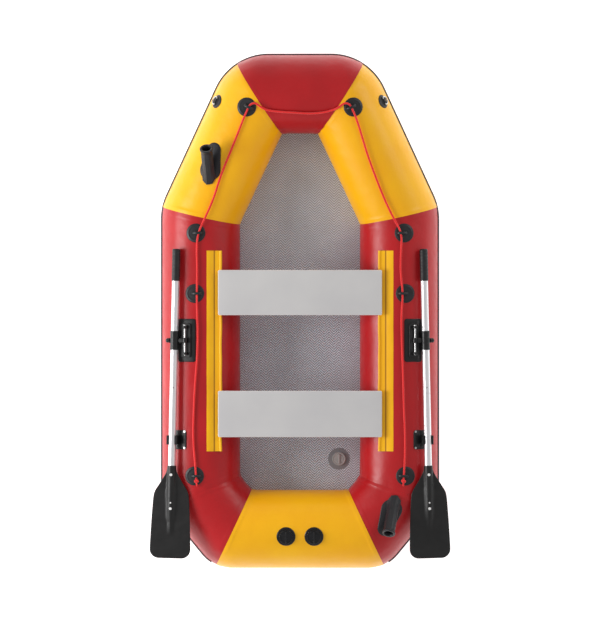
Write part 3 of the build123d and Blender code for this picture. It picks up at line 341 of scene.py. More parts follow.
def blend_colours(tree, factor, first, second):
    """Two colours, each in hex or from a socket, mixed by a factor socket."""
    ends = [linear(colour) if isinstance(colour, str) else colour for colour in (first, second)]
    mixed = add_node(tree, "Mix", {0: factor, 6: ends[0], 7: ends[1]}, data_type="RGBA")
    return mixed.outputs[2]


def bump(tree, height, depth, below=None):
    """A bump of the given depth in metres, stacked on an earlier one."""
    inputs = {"Height": height, "Distance": depth, "Strength": 1.0}
    if below is not None:
        inputs["Normal"] = below
    return add_node(tree, "Bump", inputs).outputs["Normal"]


print("material helpers ready")

# %% [markdown]
# ## Hull fabric
# The tubes are polyester cloth coated with PVC on both sides. The coating is glossy but not a mirror: the weave
# under it shows as a fine ripple, and the pressure leaves a slow unevenness that breaks up highlights. The
# threads are about 1 mm apart, too fine to see from above the boat, so the ripple is drawn at 2.5 mm.

# %% Coated fabric
THREAD = 0.0025


def coated_fabric(name, light, deep, roughness):
    """PVC-coated polyester: smooth plastic sheen over a faint weave, with slow changes of tone."""
    material, tree, shader = new_finish(name, Roughness=roughness, IOR=1.53, Specular_IOR_Level=0.32,
                                        Coat_Weight=0.1, Coat_Roughness=0.3)
    here = add_node(tree, "TexCoord").outputs["Object"]
    tone = mottle(tree, 5.0, 0.0, 1.0, here)
    tree.links.new(blend_colours(tree, tone, light, deep), shader.inputs["Base Color"])
    weave_at = add_node(tree, "TexCoord").outputs["UV"]
    waves = []
    for direction in ("X", "Y"):
        wave = {"Vector": weave_at, "Scale": 1 / (THREAD * 3.2), "Distortion": 0.0}
        waves.append(add_node(tree, "TexWave", wave, bands_direction=direction).outputs["Fac"])
    weave = add_node(tree, "Math", {0: waves[0], 1: waves[1]}, operation="ADD").outputs[0]
    slow = mottle(tree, 14.0, 0.0, 1.0, here)
    ripple = bump(tree, slow, 0.0012)
    tree.links.new(bump(tree, weave, 0.00003, ripple), shader.inputs["Normal"])
    tree.links.new(mottle(tree, 30.0, roughness - 0.04, roughness + 0.05, here), shader.inputs["Roughness"])
    return material


RED_PVC = coated_fabric("red_pvc_coated_fabric", "bb141b", "ae1117", 0.36)
YELLOW_PVC = coated_fabric("yellow_pvc_coated_fabric", "ffbd02", "fbb300", 0.36)
TRACK_PVC = coated_fabric("yellow_pvc_track_tape", "ffc006", "f6b103", 0.42)
LINING = coated_fabric("grey_inner_fabric", "77777b", "6a6a6e", 0.6)
BOTTOM_PVC = coated_fabric("grey_pvc_bottom_fabric", "8d8d90", "828286", 0.4)


def paint_fold_shade(material, crease_x, wide, dark):
    """Adds a painted shade, a dark line along the fold at |x| = crease_x, to a coated fabric's colour."""
    tree = material.node_tree
    shader = next(node for node in tree.nodes if node.bl_idname == "ShaderNodeBsdfPrincipled")
    x = add_node(tree, "SeparateXYZ", {0: add_node(tree, "TexCoord").outputs["Object"]}).outputs[0]
    side = add_node(tree, "Math", {0: x}, operation="ABSOLUTE").outputs[0]
    from_fold = add_node(tree, "Math", {0: side, 1: crease_x}, operation="SUBTRACT").outputs[0]
    gap = add_node(tree, "Math", {0: from_fold}, operation="ABSOLUTE").outputs[0]
    level = {"Value": gap, "From Min": wide, "From Max": wide * 0.3}
    line = add_node(tree, "MapRange", level).outputs["Result"]
    cloth = shader.inputs["Base Color"].links[0].from_socket
    tree.links.new(blend_colours(tree, line, cloth, dark), shader.inputs["Base Color"])


print("coated fabrics:", RED_PVC.name, YELLOW_PVC.name)

# %% [markdown]
# ## Hull panels
# Eight panels of fabric make the tube. Each is a grid of the skin function: rows from mitre to mitre, closer
# together near the seams, and columns round the tube. Where two panels meet, the one on top laps over and
# stands one fabric thickness proud, the tape glued inside shows as a soft step, and the cloth that's bent
# into the corner puckers. The puckers are waves round the tube that fade with distance from the seam.

# %% Panels
AROUND = 144
LAP = 0.0009
GROUND = 0.0002
LAP_WIDE = 0.018
TAPE_WIDE = 0.025
LAPS_OVER = {
    QUARTER: (0, 1), SIDE: (0, 0), SHOULDER: (1, 0), BOW: (1, 1),
    STAR_SHOULDER: (0, 1), STAR_SIDE: (0, 0), STAR_QUARTER: (1, 0), STERN: (1, 1),
}
ROWS = [70, 150, 110, 80, 110, 150, 70, 100]
pucker_draw = np.random.default_rng(11)
WAVES = np.arange(5, 27)
PUCKER_SIZE = pucker_draw.uniform(0.2, 1.0, (8, len(WAVES))) / WAVES**0.55
PUCKER_PHASE = pucker_draw.uniform(0, 2 * np.pi, (8, len(WAVES)))
PUCKER_DEPTH = [0.0016, 0.0022, 0.0011, 0.0014, 0.0014, 0.0011, 0.0022, 0.0016]
TAPE_STEP, TAPE_EASE, LAP_EASE = 0.0006, 0.004, 0.0015


def pucker(corner, theta, distance):
    """Sum of waves round the tube, each fading from the seam, deeper on the inside of the corner.

    A starboard corner takes the same waves as its port twin, which is 7 less its own number.
    """
    twin = min(corner, 7 - corner)
    angles = theta[..., None] * WAVES + PUCKER_PHASE[twin]
    fade = np.exp(-distance[..., None] / (0.09 / WAVES**0.35))
    waves = (PUCKER_SIZE[twin] * np.cos(angles) * fade).sum(axis=-1)
    inner = 0.45 + 0.55 * np.clip(-np.cos(theta) + 0.35, 0, 1)
    return PUCKER_DEPTH[corner] * waves * inner


def smooth_step(x):
    """0 below 0, 1 above 1, with an even ease between."""
    x = np.clip(x, 0, 1)
    return x * x * (3 - 2 * x)


def skin_normals(points):
    """Unit normals of a grid that's closed across its columns: column step x row step."""
    across = np.roll(points, -1, axis=1) - np.roll(points, 1, axis=1)
    down = np.gradient(points, axis=0)
    return unit(np.cross(across, down))


def panel_grid(i, rows):
    """The panel's outer face: skin, puckers, the inner tape's step and each lap, kept off the ground."""
    steps = (1 - np.cos(np.pi * np.linspace(0, 1, rows))) / 2
    share, theta = np.meshgrid(steps, turns(AROUND), indexing="ij")
    points = skin(i, share, theta)
    normals = skin_normals(points)
    raised = np.zeros(share.shape)
    for corner, distance, lap in zip((i, (i + 1) % 8), from_mitre(i, share, theta), LAPS_OVER[i]):
        raised += pucker(corner, theta, distance)
        raised += TAPE_STEP * smooth_step((TAPE_WIDE - distance) / TAPE_EASE)
        raised += lap * LAP * smooth_step((LAP_WIDE - distance) / LAP_EASE)
    uv = np.stack([from_mitre(i, share, theta)[0], theta * TUBE], axis=-1)
    points = points + raised[..., None] * normals
    points[..., 2] = np.maximum(points[..., 2], GROUND)
    return points, uv


for i, name in enumerate(PANELS):
    points, uv = panel_grid(i, ROWS[i])
    yellow = i in (SHOULDER, STAR_SHOULDER, STERN)
    panel = build(f"{name}_skin", [grid(points, capped=False)], YELLOW_PVC if yellow else RED_PVC, uv)
    thicken(panel, SKIN)
    settle(panel, "hull", "hull_yellow" if yellow else "hull_red", f"{name}_panel")
    print(panel.name, len(panel.data.polygons), "faces")

# %% [markdown]
# ## Inner tapes
# Each mitre is sealed inside by a tape that covers both edges. It's never seen from outside, but it belongs in
# the tube, so it's the same skin function a little further in, over the 25 mm beside each seam.

# %% Seam tapes
TAPE_THICK, TAPE_LIFT = 0.0008, -2.2 * SKIN
tapes = []
for i in range(8):
    theta = turns(64)
    for at_end in (False, True):
        reach = np.linspace(0, 1, 6)[:, None] * TAPE_WIDE / from_mitre(i, 1.0, theta)[0]
        share = 1 - reach[::-1] if at_end else reach
        ring = skin(i, share, np.broadcast_to(theta, share.shape), TAPE_LIFT)
        tapes.append(grid(ring, capped=False))
tape_uv = np.concatenate([tape[0][..., :2].reshape(-1, 2) for tape in tapes])
seam_tapes = build("inner_seam_tapes", tapes, LINING, tape_uv)
settle(thicken(seam_tapes, TAPE_THICK), "hull", "inner_fabric", "seam_tapes")
print("tapes:", len(tapes))

# %% [markdown]
# ## Rubbing strake
# A solid rubber strip is glued round the widest line of the hull, from one quarter to the other. Its section
# is low and rounded with two shallow grooves, and it follows the skin function round the rounded corners as
# one strip with no joints.

# %% Strake
STRAKE_HALF = np.radians(9.0)
STRAKE_PROUD = 0.006
STRAKE_STOP = 0.025
GROOVE_AT, GROOVE_WIDE, GROOVE_DEEP = 0.42, 0.07, 0.0014


def rubber(name, hex_low, hex_high, roughness, grain):
    """Moulded rubber: dark, with a soft sheen, a pitted grain and scuffs that catch the light."""
    material, tree, shader = new_finish(name, Roughness=roughness, IOR=1.52, Specular_IOR_Level=0.42)
    here = add_node(tree, "TexCoord").outputs["Object"]
    tone = mottle(tree, 40.0, 0.0, 1.0, here)
    tree.links.new(blend_colours(tree, tone, hex_low, hex_high), shader.inputs["Base Color"])
    tree.links.new(mottle(tree, 120.0, roughness - 0.08, roughness + 0.1, here), shader.inputs["Roughness"])
    pits = add_node(tree, "TexNoise", {"Vector": here, "Scale": 1 / grain, "Detail": 4.0}).outputs["Fac"]
    tree.links.new(bump(tree, pits, grain * 0.06), shader.inputs["Normal"])
    return material


STRAKE_RUBBER = rubber("grey_epdm_strake", "3c3a3e", "343236", 0.5, 0.002)
from_middle = np.linspace(0, 1, 25) * 2 - 1
across = from_middle * STRAKE_HALF
height = STRAKE_PROUD * np.sqrt(np.clip(1 - from_middle**6, 0, 1))
height -= GROOVE_DEEP * np.exp(-(((np.abs(from_middle) - GROOVE_AT) / GROOVE_WIDE) ** 2))
section_angle = np.concatenate([across, across[-2:0:-1]])
section_lift = np.concatenate([np.maximum(height, GLUE * 3), np.full(23, GLUE)])
strips = []
for i in range(STERN):
    steps = (1 - np.cos(np.pi * np.linspace(0, 1, 60))) / 2
    steps = steps if i == 0 else steps[1:]
    length = float(from_mitre(i, 1.0, 0.0)[0])
    if i == 0:
        steps = STRAKE_STOP / length + steps * (1 - STRAKE_STOP / length)
    if i == STERN - 1:
        steps = steps * (1 - STRAKE_STOP / length)
    share, theta = np.meshgrid(steps, section_angle, indexing="ij")
    strips.append(skin(i, share, theta, np.broadcast_to(section_lift, theta.shape)))
strake = outward(build("rubbing_strip", [grid(np.concatenate(strips))], STRAKE_RUBBER, sharp=50))
settle(strake, "hull", "strake", "rubbing_strake")
print(strake.name, len(strake.data.vertices), "points")

# %% [markdown]
# ## Air deck and bottom sheet
# The floor is drop-stitch: two skins held flat and parallel by thousands of yarns, with edges that bulge.
# It's made as rows across the boat: each goes over the top from edge to edge, round the bulging edge and back
# underneath, and the rows crowd together at both ends, where the top rolls over. The outline is the tubes'
# inner plan, pulled in, with rounded corners, and forward of the shoulder it climbs with the bow.

# %% Floor shapes
deck_low, deck_high = node_box("air_deck")
sheet_low, sheet_high = node_box("bottom_sheet")
DECK_UNDER = deck_low[2]
DECK_OVER = 0.087
SLOPE = BOW_RISE / (BOW_Y - SHOULDER_Y)


def inset_plan(inset, bow_y):
    """Plan corners of the ring pulled in by inset, with the bow edge at bow_y."""
    normals, offsets = [], []
    for i in (0, 1, 2):
        normals.append(unit(OUT[i] * (1, 1, 0))[:2])
        offsets.append(normals[-1] @ CORNERS[i][:2] - inset)
    quarter = np.linalg.solve(normals[:2], offsets[:2])
    shoulder = np.linalg.solve(normals[1:], offsets[1:])
    aft = np.linalg.solve([normals[0], (0, -1)], [offsets[0], -(STERN_Y + inset)])
    bow = np.linalg.solve([normals[2], (0, 1)], [offsets[2], bow_y])
    port = np.array([aft, quarter, shoulder, bow])
    return np.concatenate([port, port[::-1] * (-1, 1)])


def round_corners(corners, radius, count):
    """Closed outline with each corner swept by a quadratic curve of about that radius, evenly spaced."""
    before, after = np.roll(corners, 1, axis=0), np.roll(corners, -1, axis=0)
    t = np.linspace(0, 1, 16)[:, None, None]
    start = corners + unit(before - corners) * radius
    end = corners + unit(after - corners) * radius
    curve = (1 - t) ** 2 * start + 2 * t * (1 - t) * corners + t**2 * end
    path = curve.transpose(1, 0, 2).reshape(-1, 2)
    path = np.concatenate([path, path[:1]])
    travelled = np.concatenate([[0], np.cumsum(np.linalg.norm(np.diff(path, axis=0), axis=1))])
    even = np.linspace(0, travelled[-1], count, endpoint=False)
    return np.stack([np.interp(even, travelled, path[:, k]) for k in (0, 1)], axis=-1)


def climb(y):
    """How far the floor has risen at y, eased in over 120 mm about the shoulder."""
    ease = 0.06
    past = y - SHOULDER_Y
    soft = np.where(np.abs(past) < ease, (past + ease) ** 2 / (4 * ease), np.maximum(past, 0))
    return SLOPE * soft


def half_widths(outline, rows):
    """Half-width of an outline, the same on both sides, at each row's y."""
    right = outline[outline[:, 0] > 0]
    right = right[np.lexsort((right[:, 0], right[:, 1]))]
    return np.interp(rows, right[:, 1], right[:, 0])


def end_rows(low, high, count, curl):
    """Rows from one end to the other, crowded where the edge curls over at each end."""
    turn = np.sin(np.radians(np.linspace(0, 90, 8)))
    first = low + curl * (1 - turn[::-1])
    last = high - curl * (1 - turn)
    return np.concatenate([first, np.linspace(low + curl, high - curl, count)[1:-1], last])


print("floor climbs", round(float(SLOPE), 3), "per metre forward of the shoulder")

# %% [markdown]
# ## The deck's material
# The top skin is embossed with a herringbone so that wet feet grip. The bars are worked out from the place on
# the deck: columns 22 mm wide whose bars lean one way and then the other, 11 mm apart, as coarse as they need
# to be to show from above the boat. Their tops are painted paler, a patchy painted sheen on the raised bars.

# %% Embossed deck
COLUMN, BAR = 0.022, 0.0115


def embossed_deck():
    """Grey PVC with raised herringbone bars: a triangle wave across slanted coordinates, mirrored by column, with a
    painted sheen on the bars.
    """
    material, tree, shader = new_finish("embossed_pvc_deck", Roughness=0.46, IOR=1.53)
    here = add_node(tree, "TexCoord").outputs["Object"]
    x, y, _ = add_node(tree, "SeparateXYZ", {0: here}).outputs
    zigzag = add_node(tree, "Math", {0: x, 1: COLUMN}, operation="PINGPONG").outputs[0]
    slant = add_node(tree, "Math", {0: y, 1: zigzag}, operation="ADD").outputs[0]
    wave = add_node(tree, "Math", {0: slant, 1: BAR / 2}, operation="PINGPONG").outputs[0]
    level = {"Value": wave, "From Min": BAR * 0.12, "From Max": BAR * 0.34}
    bars = add_node(tree, "MapRange", level, interpolation_type="SMOOTHSTEP").outputs["Result"]
    # Painted sheen: the bar tops are painted pale, patchily, so the herringbone shows as light on the raised bars.
    sheen_patchiness = mottle(tree, 7.0, 0.7, 1.0, here)
    painted_bar_sheen = add_node(tree, "Math", {0: bars, 1: sheen_patchiness}, operation="MULTIPLY").outputs[0]
    tree.links.new(blend_colours(tree, painted_bar_sheen, "999ea7", "e6edf7"), shader.inputs["Base Color"])
    grain = mottle(tree, 300.0, 0.38, 0.52, here)
    tree.links.new(grain, shader.inputs["Roughness"])
    tree.links.new(bump(tree, bars, 0.0012), shader.inputs["Normal"])
    return material


DECK_PVC = embossed_deck()
DECK_MIDDLE, DECK_HALF_THICK = (DECK_OVER + DECK_UNDER) / 2, (DECK_OVER - DECK_UNDER) / 2
DECK_EDGE, DECK_INSET, DECK_CORNER = 0.022, 0.150, 0.05
deck_outline = round_corners(inset_plan(DECK_INSET, deck_high[1]), DECK_CORNER, 640)
deck_rows = end_rows(deck_outline[:, 1].min(), deck_outline[:, 1].max(), 120, DECK_EDGE)
from_end = np.minimum(deck_rows - deck_rows[0], deck_rows[-1] - deck_rows)
full = np.clip(1 - (1 - np.clip(from_end / DECK_EDGE, 0, 1)) ** 4, 0, 1) ** 0.25
side_turn = np.radians(np.linspace(90, -90, 17))
side_out = np.abs(np.cos(side_turn)) ** 0.5
side_up = np.sign(np.sin(side_turn)) * np.abs(np.sin(side_turn)) ** 0.5
spread = np.linspace(-1, 1, 41)[1:-1]
flat = half_widths(deck_outline, deck_rows)[:, None] - DECK_EDGE
right_edge = flat + DECK_EDGE * side_out
across = np.concatenate([flat * spread, right_edge, flat * spread[::-1], -right_edge[:, ::-1]], axis=1)
lift = np.concatenate([np.ones(39), side_up, -np.ones(39), side_up[::-1]])
upright = DECK_MIDDLE + DECK_HALF_THICK * full[:, None] * lift + climb(deck_rows)[:, None]
rings = np.stack([across, np.broadcast_to(deck_rows[:, None], across.shape), upright], axis=-1)
deck = outward(build("air_deck_floor", [grid(rings)], DECK_PVC, sharp=60))
settle(deck, "hull", "deck_grey", "air_deck")
print(deck.name, len(deck.data.polygons), "faces, top at", DECK_OVER)

# %% [markdown]
# The bottom sheet is cloth, stretched flat under the deck and glued up onto the tubes.

# %% Bottom sheet
SHEET_THICK = 0.0012
sheet_inset = float(np.sqrt(TUBE**2 - (TUBE - sheet_low[2] - SHEET_THICK) ** 2))
sheet_outline = round_corners(inset_plan(sheet_inset, sheet_high[1] + 0.002), 0.03, 240)
sheet_rows = np.linspace(sheet_outline[:, 1].min(), sheet_outline[:, 1].max(), 90)
sheet_across = half_widths(sheet_outline, sheet_rows)[:, None] * np.linspace(-1, 1, 41)
sheet_height = sheet_low[2] + climb(sheet_rows)[:, None]
sheet_points = np.stack(np.broadcast_arrays(sheet_across, sheet_rows[:, None], sheet_height), axis=-1)
bottom = build("bottom_fabric", [grid(sheet_points, around=False, capped=False, flip=True)], BOTTOM_PVC,
               sheet_points[..., :2])
bottom = thicken(bottom, SHEET_THICK)
settle(bottom, "hull", "inner_fabric", "bottom_sheet")
x, y = sheet_outline.T

# %% [markdown]
# ## Seat tracks
# Each seat hangs on a track: a strip of the yellow fabric, glued along the tube, whose free edge is rolled
# round a rope into a bead. The section goes along the glued flap, off the tube along the web, round the bead
# and back underneath, and is carried along the boat.

# %% Tracks
TRACK_FORE, TRACK_AFT = 0.27, -0.62
BEAD_IN, BEAD, FLAP = 0.092, 0.006, 0.0012
TRACK_OUTER, TRACK_CREASE, FOLD_SHADE_WIDE = 0.03, 0.064, 0.0045
bead_low, bead_high = node_box("track_bead_ropes")
BEAD_Z = (bead_low[2] + bead_high[2]) / 2
BEAD_X = SIDE_X - BEAD_IN
# Painted shade: a dark line along the track's fold, where the flap's step would cast shade.
paint_fold_shade(TRACK_PVC, SIDE_X - TRACK_CREASE, FOLD_SHADE_WIDE, "a86f02")


def track_section():
    """Closed section in x (towards the middle of the boat) and z: flap, web, bead, and back underneath."""
    top = np.linspace(np.arcsin(TRACK_OUTER / TUBE), np.arcsin(TRACK_CREASE / TUBE), 10)
    over, under = TUBE + GLUE + FLAP, TUBE + GLUE
    lead = np.array([0.25, 0.7, 1.0] + [1.0] * 7)
    flap_top = np.stack([over * np.sin(top), TUBE + (under + FLAP * lead) * np.cos(top)], axis=-1)
    back = top[::-1]
    flap_under = np.stack([under * np.sin(back), TUBE + under * np.cos(back)], axis=-1)
    web = np.array([BEAD_IN, BEAD_Z]) - flap_top[-1]
    lean = np.arctan2(web[1], web[0])
    round_bead = lean + np.pi + np.linspace(-0.2, -2 * np.pi + 0.2, 28)
    bead = np.array([BEAD_IN, BEAD_Z]) + BEAD * circle(round_bead)
    return np.concatenate([flap_top, bead, flap_under])


section = track_section()
track_shapes = []
for side in (-1, 1):
    y = np.linspace(TRACK_AFT, TRACK_FORE, 90)
    waver = 1 + 0.012 * np.sin(y * 31) * np.sin(y * 13)
    x = side * (SIDE_X - section[None, :, 0] * waver[:, None])
    points = np.stack(np.broadcast_arrays(x, y[:, None], section[:, 1]), axis=-1)
    track_shapes.append(grid(points, flip=side > 0))
track_uv = np.concatenate([shape[0][..., :2].reshape(-1, 2) for shape in track_shapes])
tracks = outward(build("seat_track_strips", track_shapes, TRACK_PVC, track_uv, sharp=35))
settle(tracks, "hull", "track_yellow", "seat_tracks")
print(tracks.name, "bead at x", round(BEAD_X, 4), "z", round(BEAD_Z, 4))

# %% [markdown]
# ## Bench seats
# A seat is one board with rounded corners and a full bullnose edge, moulded in pale grey plastic with a fine
# spark-eroded texture. It's a stack of rings: from the middle of the top out to the edge, round it, and in to
# the middle of the underside.

# %% Seat boards


def seat_plastic():
    """Pale grey moulded board: satin, a fine grain from the mould, a few faint long scuffs, and a painted highlight
    on its rounded edges.
    """
    material, tree, shader = new_finish("grey_moulded_seat", Roughness=0.42, IOR=1.49)
    here = add_node(tree, "TexCoord").outputs["Object"]
    tone = mottle(tree, 3.5, 0.0, 1.0, here)
    scuff_at = add_node(tree, "Mapping", {"Vector": here, "Scale": (2.0, 60.0, 2.0)}).outputs[0]
    scuffs = mottle(tree, 6.0, 0.36, 0.5, scuff_at, 6.0)
    # Painted highlight: the rounded edges, where the surface faces less upwards, are painted near white.
    upright = add_node(tree, "SeparateXYZ", {0: add_node(tree, "NewGeometry").outputs["Normal"]}).outputs[2]
    painted_edge_highlight = {"Value": upright, "From Min": 0.97, "From Max": 0.6}
    painted_edge_highlight = add_node(tree, "MapRange", painted_edge_highlight).outputs["Result"]
    face = blend_colours(tree, tone, "cdcbca", "c3c1c2")
    tree.links.new(blend_colours(tree, painted_edge_highlight, face, "f4f3f2"), shader.inputs["Base Color"])
    tree.links.new(scuffs, shader.inputs["Roughness"])
    grain = add_node(tree, "TexNoise", {"Vector": here, "Scale": 900.0, "Detail": 2.0}).outputs["Fac"]
    tree.links.new(bump(tree, grain, 0.00012), shader.inputs["Normal"])
    return material


SEAT = seat_plastic()


BOARD_CORNER, BOARD_EDGE = 0.006, 0.003
CORNER_STEPS = 10
SPANS = (0.0, 0.5, 0.85)


def rounded_rectangle(half_x, half_y, corner):
    """A rectangle with rounded corners: each point's direction on its corner arc, and the arc's centre."""
    quarters = (0, np.pi / 2, np.pi, 1.5 * np.pi)
    angle = np.concatenate([np.linspace(q, q + np.pi / 2, CORNER_STEPS) for q in quarters])
    centre_x = np.repeat([1, -1, -1, 1], CORNER_STEPS) * (half_x - corner)
    centre_y = np.repeat([1, 1, -1, -1], CORNER_STEPS) * (half_y - corner)
    return circle(angle), np.stack([centre_x, centre_y], axis=-1)


def slab(half_x, half_y, corner, edge, low, high):
    """Rounded board between two heights, its edge rounded by edge above and below."""
    direction, centre = rounded_rectangle(half_x, half_y, corner)
    arc = np.radians(np.linspace(90, 0, 7))
    pulls = [(share, None, high) for share in SPANS]
    pulls += [(None, corner - edge + edge * np.cos(a), high - edge + edge * np.sin(a)) for a in arc]
    pulls += [(None, corner - edge + edge * np.cos(a), low + edge - edge * np.sin(a)) for a in arc[::-1]]
    pulls += [(share, None, low) for share in SPANS[::-1]]
    rows = []
    for share, reach, z in pulls:
        if reach is None:
            flat = (centre + direction * (corner - edge)) * share
        else:
            flat = centre + direction * reach
        rows.append(at_height(flat, z))
    return np.array(rows)


for name in ("forward", "aft"):
    low, high = node_box(f"{name}_thwart")
    middle, half = (low + high) / 2, (high - low) / 2
    board = slab(half[0], half[1], BOARD_CORNER, BOARD_EDGE, low[2], high[2]) + (middle * (1, 1, 0))
    made = outward(build(f"{name}_seat_board", [grid(board, capped=False)], SEAT, sharp=60))
    settle(made, f"{name}_seat", "seat_board", f"{name}_thwart")
    print(made.name, "top at", round(float(high[2]), 4))

# %% [markdown]
# ## Moulded patches
# Eyelets, tow rings, rowlocks, clips, valves and rod holders all stand on a moulded rubber foot that's glued to
# the tube and curves with it. A patch is worked out flat, as rings with a height each, then wrapped: its
# length goes along the tube and its width becomes an angle round it.

# %% Patches
BLACK_RUBBER = rubber("black_moulded_rubber", "19191c", "222226", 0.42, 0.0012)


def wrap(i, x, y, rings, turn=0.0):
    """Rings given as (along, outboard, height) on the patch, laid on run i over plan point x, y."""
    ahead, theta = place(i, x, y)
    c, s = np.cos(np.radians(turn)), np.sin(np.radians(turn))
    a, b = rings[..., 0] * c - rings[..., 1] * s, rings[..., 0] * s + rings[..., 1] * c
    return on_tube(i, ahead + a, theta - np.arcsin(b / TUBE), GLUE + rings[..., 2])


def disc(radius, thickness, rim):
    """Round patch: feathered edge, raised rim and a flat top, as rings from the middle out."""
    flat = circle(turns(56))
    shares = np.array([0.0, 0.35, 0.62, 0.7, 0.74, 0.8, 0.84, 0.93, 0.975, 1.0, 1.0])
    heights = np.array([1.0, 1.0, 1.0, 1.0, 1 + rim, 1 + rim, 1.0, 0.95, 0.75, 0.35, 0.0]) * thickness
    return np.array([at_height(radius * share * flat, height) for share, height in zip(shares, heights)])


def patch_shape(i, x, y, rings, turn=0.0):
    """The wrapped rings, closed underneath by one face against the tube."""
    return grid(wrap(i, x, y, rings, turn)[::-1])


def seat_axes(i, x, y, turn=0.0):
    """Origin and the along, across and out directions of a fitting on run i over plan point x, y."""
    ahead, theta = place(i, x, y)
    out = np.cos(theta) * OUT[i] + np.sin(theta) * UP[i]
    across = np.cross(out, ALONG[i])
    c, s = np.cos(np.radians(turn)), np.sin(np.radians(turn))
    axes = np.array([ALONG[i] * c + across * s, across * c - ALONG[i] * s, out])
    return CORNERS[i] + ahead * ALONG[i] + TUBE * out, axes


def in_axes(origin, axes, points):
    """Points given along three axes, in the row frame."""
    return origin + points @ axes


print("patch helpers ready")

# %% [markdown]
# ## Lifeline eyelets
# Eight round patches carry the lifeline. Each has a moulded bridge that the rope runs under: an arch whose
# foot is broad and whose crown is thin.

# %% Eyelets
EYELETS = [(SHOULDER, 0.235, 0.901), (SIDE, 0.462, 0.348), (SIDE, 0.467, 0.08), (SIDE, 0.468, -0.729)]
EYELET = 0.042
BRIDGE_IN, BRIDGE_HALF, BRIDGE_HIGH = 0.010, 0.0205, 0.0168
BAND_WIDE, BAND_DEEP, FOOT_WIDER, FOOT_DEEPER = 0.0058, 0.0021, 0.002, 0.0022


def bridge_shape(i, x, y, inboard):
    """Arch across the tube: a thick-footed band carried along a half ellipse with upright ends."""
    origin, axes = seat_axes(i, x + inboard, y)
    angle = np.linspace(0, np.pi, 25)
    rise = BRIDGE_HIGH * np.sin(angle) ** 0.8
    ellipse = np.stack([np.zeros(25), BRIDGE_HALF * np.cos(angle), rise], axis=-1)
    foot = 1 - np.sin(angle) ** 0.7
    around = turns(14)
    wide = BAND_WIDE + FOOT_WIDER * foot
    deep = BAND_DEEP + FOOT_DEEPER * foot
    normal = np.stack([np.zeros(25), np.cos(angle), np.sin(angle)], axis=-1)
    points = ellipse[:, None] + (wide[:, None] * np.cos(around))[..., None] * np.array([1, 0, 0])
    points = points + (deep[:, None] * np.sin(around))[..., None] * normal[:, None]
    return grid(in_axes(origin, axes, points), flip=True)


eyelet_shapes = []
for i, out, y in EYELETS:
    for side in (-1, 1):
        run = i if side < 0 else 6 - i
        eyelet_shapes.append(patch_shape(run, side * out, y, disc(EYELET, 0.0025, 0.35)))
        eyelet_shapes.append(bridge_shape(run, side * out, y, -side * BRIDGE_IN))
eyelets = outward(build("lifeline_eyelet_patches", eyelet_shapes, BLACK_RUBBER, sharp=45))
settle(eyelets, "hull", "moulded_rubber", "lifeline_eyelets")
print(eyelets.name, len(eyelet_shapes) // 2, "eyelets")

# %% [markdown]
# ## Lifeline
# One red rope runs through all the bridges, from a knot at one aft eyelet, round the bow, to a knot at the
# other. Its route is a list of points, and a NURBS curve through them gives the smooth line. A braid is
# modelled as a round rope whose surface swells and dips along two crossing helices.

# %% Rope route
ROPE, ROPE_STEP = 0.0045, 0.0026
ROPE_ROUTE = np.array(
    [(-459, -745, 358), (-466, -655, 357), (-474, -560, 356), (-471, -450, 356), (-466, -335, 357)]
    + [(-456, -215, 358), (-452, -100, 358), (-456, -5, 358), (-457, 80, 358), (-455, 190, 358)]
    + [(-458, 280, 358), (-452, 348, 359), (-416, 424, 361), (-380, 505, 373), (-351, 600, 390)]
    + [(-303, 714, 408), (-263, 814, 425), (-246, 858, 432), (-226, 900, 438), (-220, 911, 441)]
    + [(-201, 919, 443), (-184, 910, 441), (-167, 896, 437), (-144, 887, 430), (-100, 881, 426)]
    + [(-30, 877, 424), (45, 872, 423), (105, 877, 425), (144, 887, 430), (167, 896, 437)]
    + [(184, 910, 441), (201, 919, 443), (220, 911, 441), (226, 900, 438), (246, 858, 432)]
    + [(268, 790, 421), (298, 690, 405), (335, 592, 388), (372, 500, 371), (413, 415, 360)]
    + [(452, 348, 359), (447, 262, 358), (445, 170, 358), (457, 80, 358), (449, -10, 358)]
    + [(450, -110, 358), (454, -215, 358), (458, -330, 357), (460, -430, 357), (465, -530, 357)]
    + [(466, -640, 357), (459, -745, 358)]
) / 1000.0


def nurbs_line(points):
    """The smooth line of a NURBS curve through control points, read back as an array."""
    curve = bpy.data.curves.new("route", "CURVE")
    curve.dimensions = "3D"
    curve.resolution_u = 12
    spline = curve.splines.new("NURBS")
    spline.points.add(len(points) - 1)
    spline.points.foreach_set("co", np.concatenate([points, np.ones((len(points), 1))], axis=1).ravel())
    spline.order_u = 3
    spline.use_endpoint_u = True
    carrier = bpy.data.objects.new("route", curve)
    mesh = bpy.data.meshes.new_from_object(carrier)
    line = np.empty(len(mesh.vertices) * 3)
    mesh.vertices.foreach_get("co", line)
    bpy.data.objects.remove(carrier)
    bpy.data.curves.remove(curve)
    bpy.data.meshes.remove(mesh)
    return line.reshape(-1, 3)


def even_line(line, spacing):
    """The same line with evenly spaced points, and its length."""
    travelled = np.concatenate([[0], np.cumsum(np.linalg.norm(np.diff(line, axis=0), axis=1))])
    even = np.linspace(0, travelled[-1], int(travelled[-1] / spacing))
    return np.stack([np.interp(even, travelled, line[:, k]) for k in range(3)], axis=-1), travelled[-1]


def tube_on(line, radius, columns):
    """Grid of rings round a line, each square to it; radius is (row, column) or one column of values."""
    tangent = unit(np.gradient(line, axis=0))
    side = unit(np.cross(tangent, [0, 0, 1]))
    up = np.cross(side, tangent)
    angle = turns(columns)
    ring = np.cos(angle)[:, None] * side[:, None] + np.sin(angle)[:, None] * up[:, None]
    return line[:, None] + radius[..., None] * ring


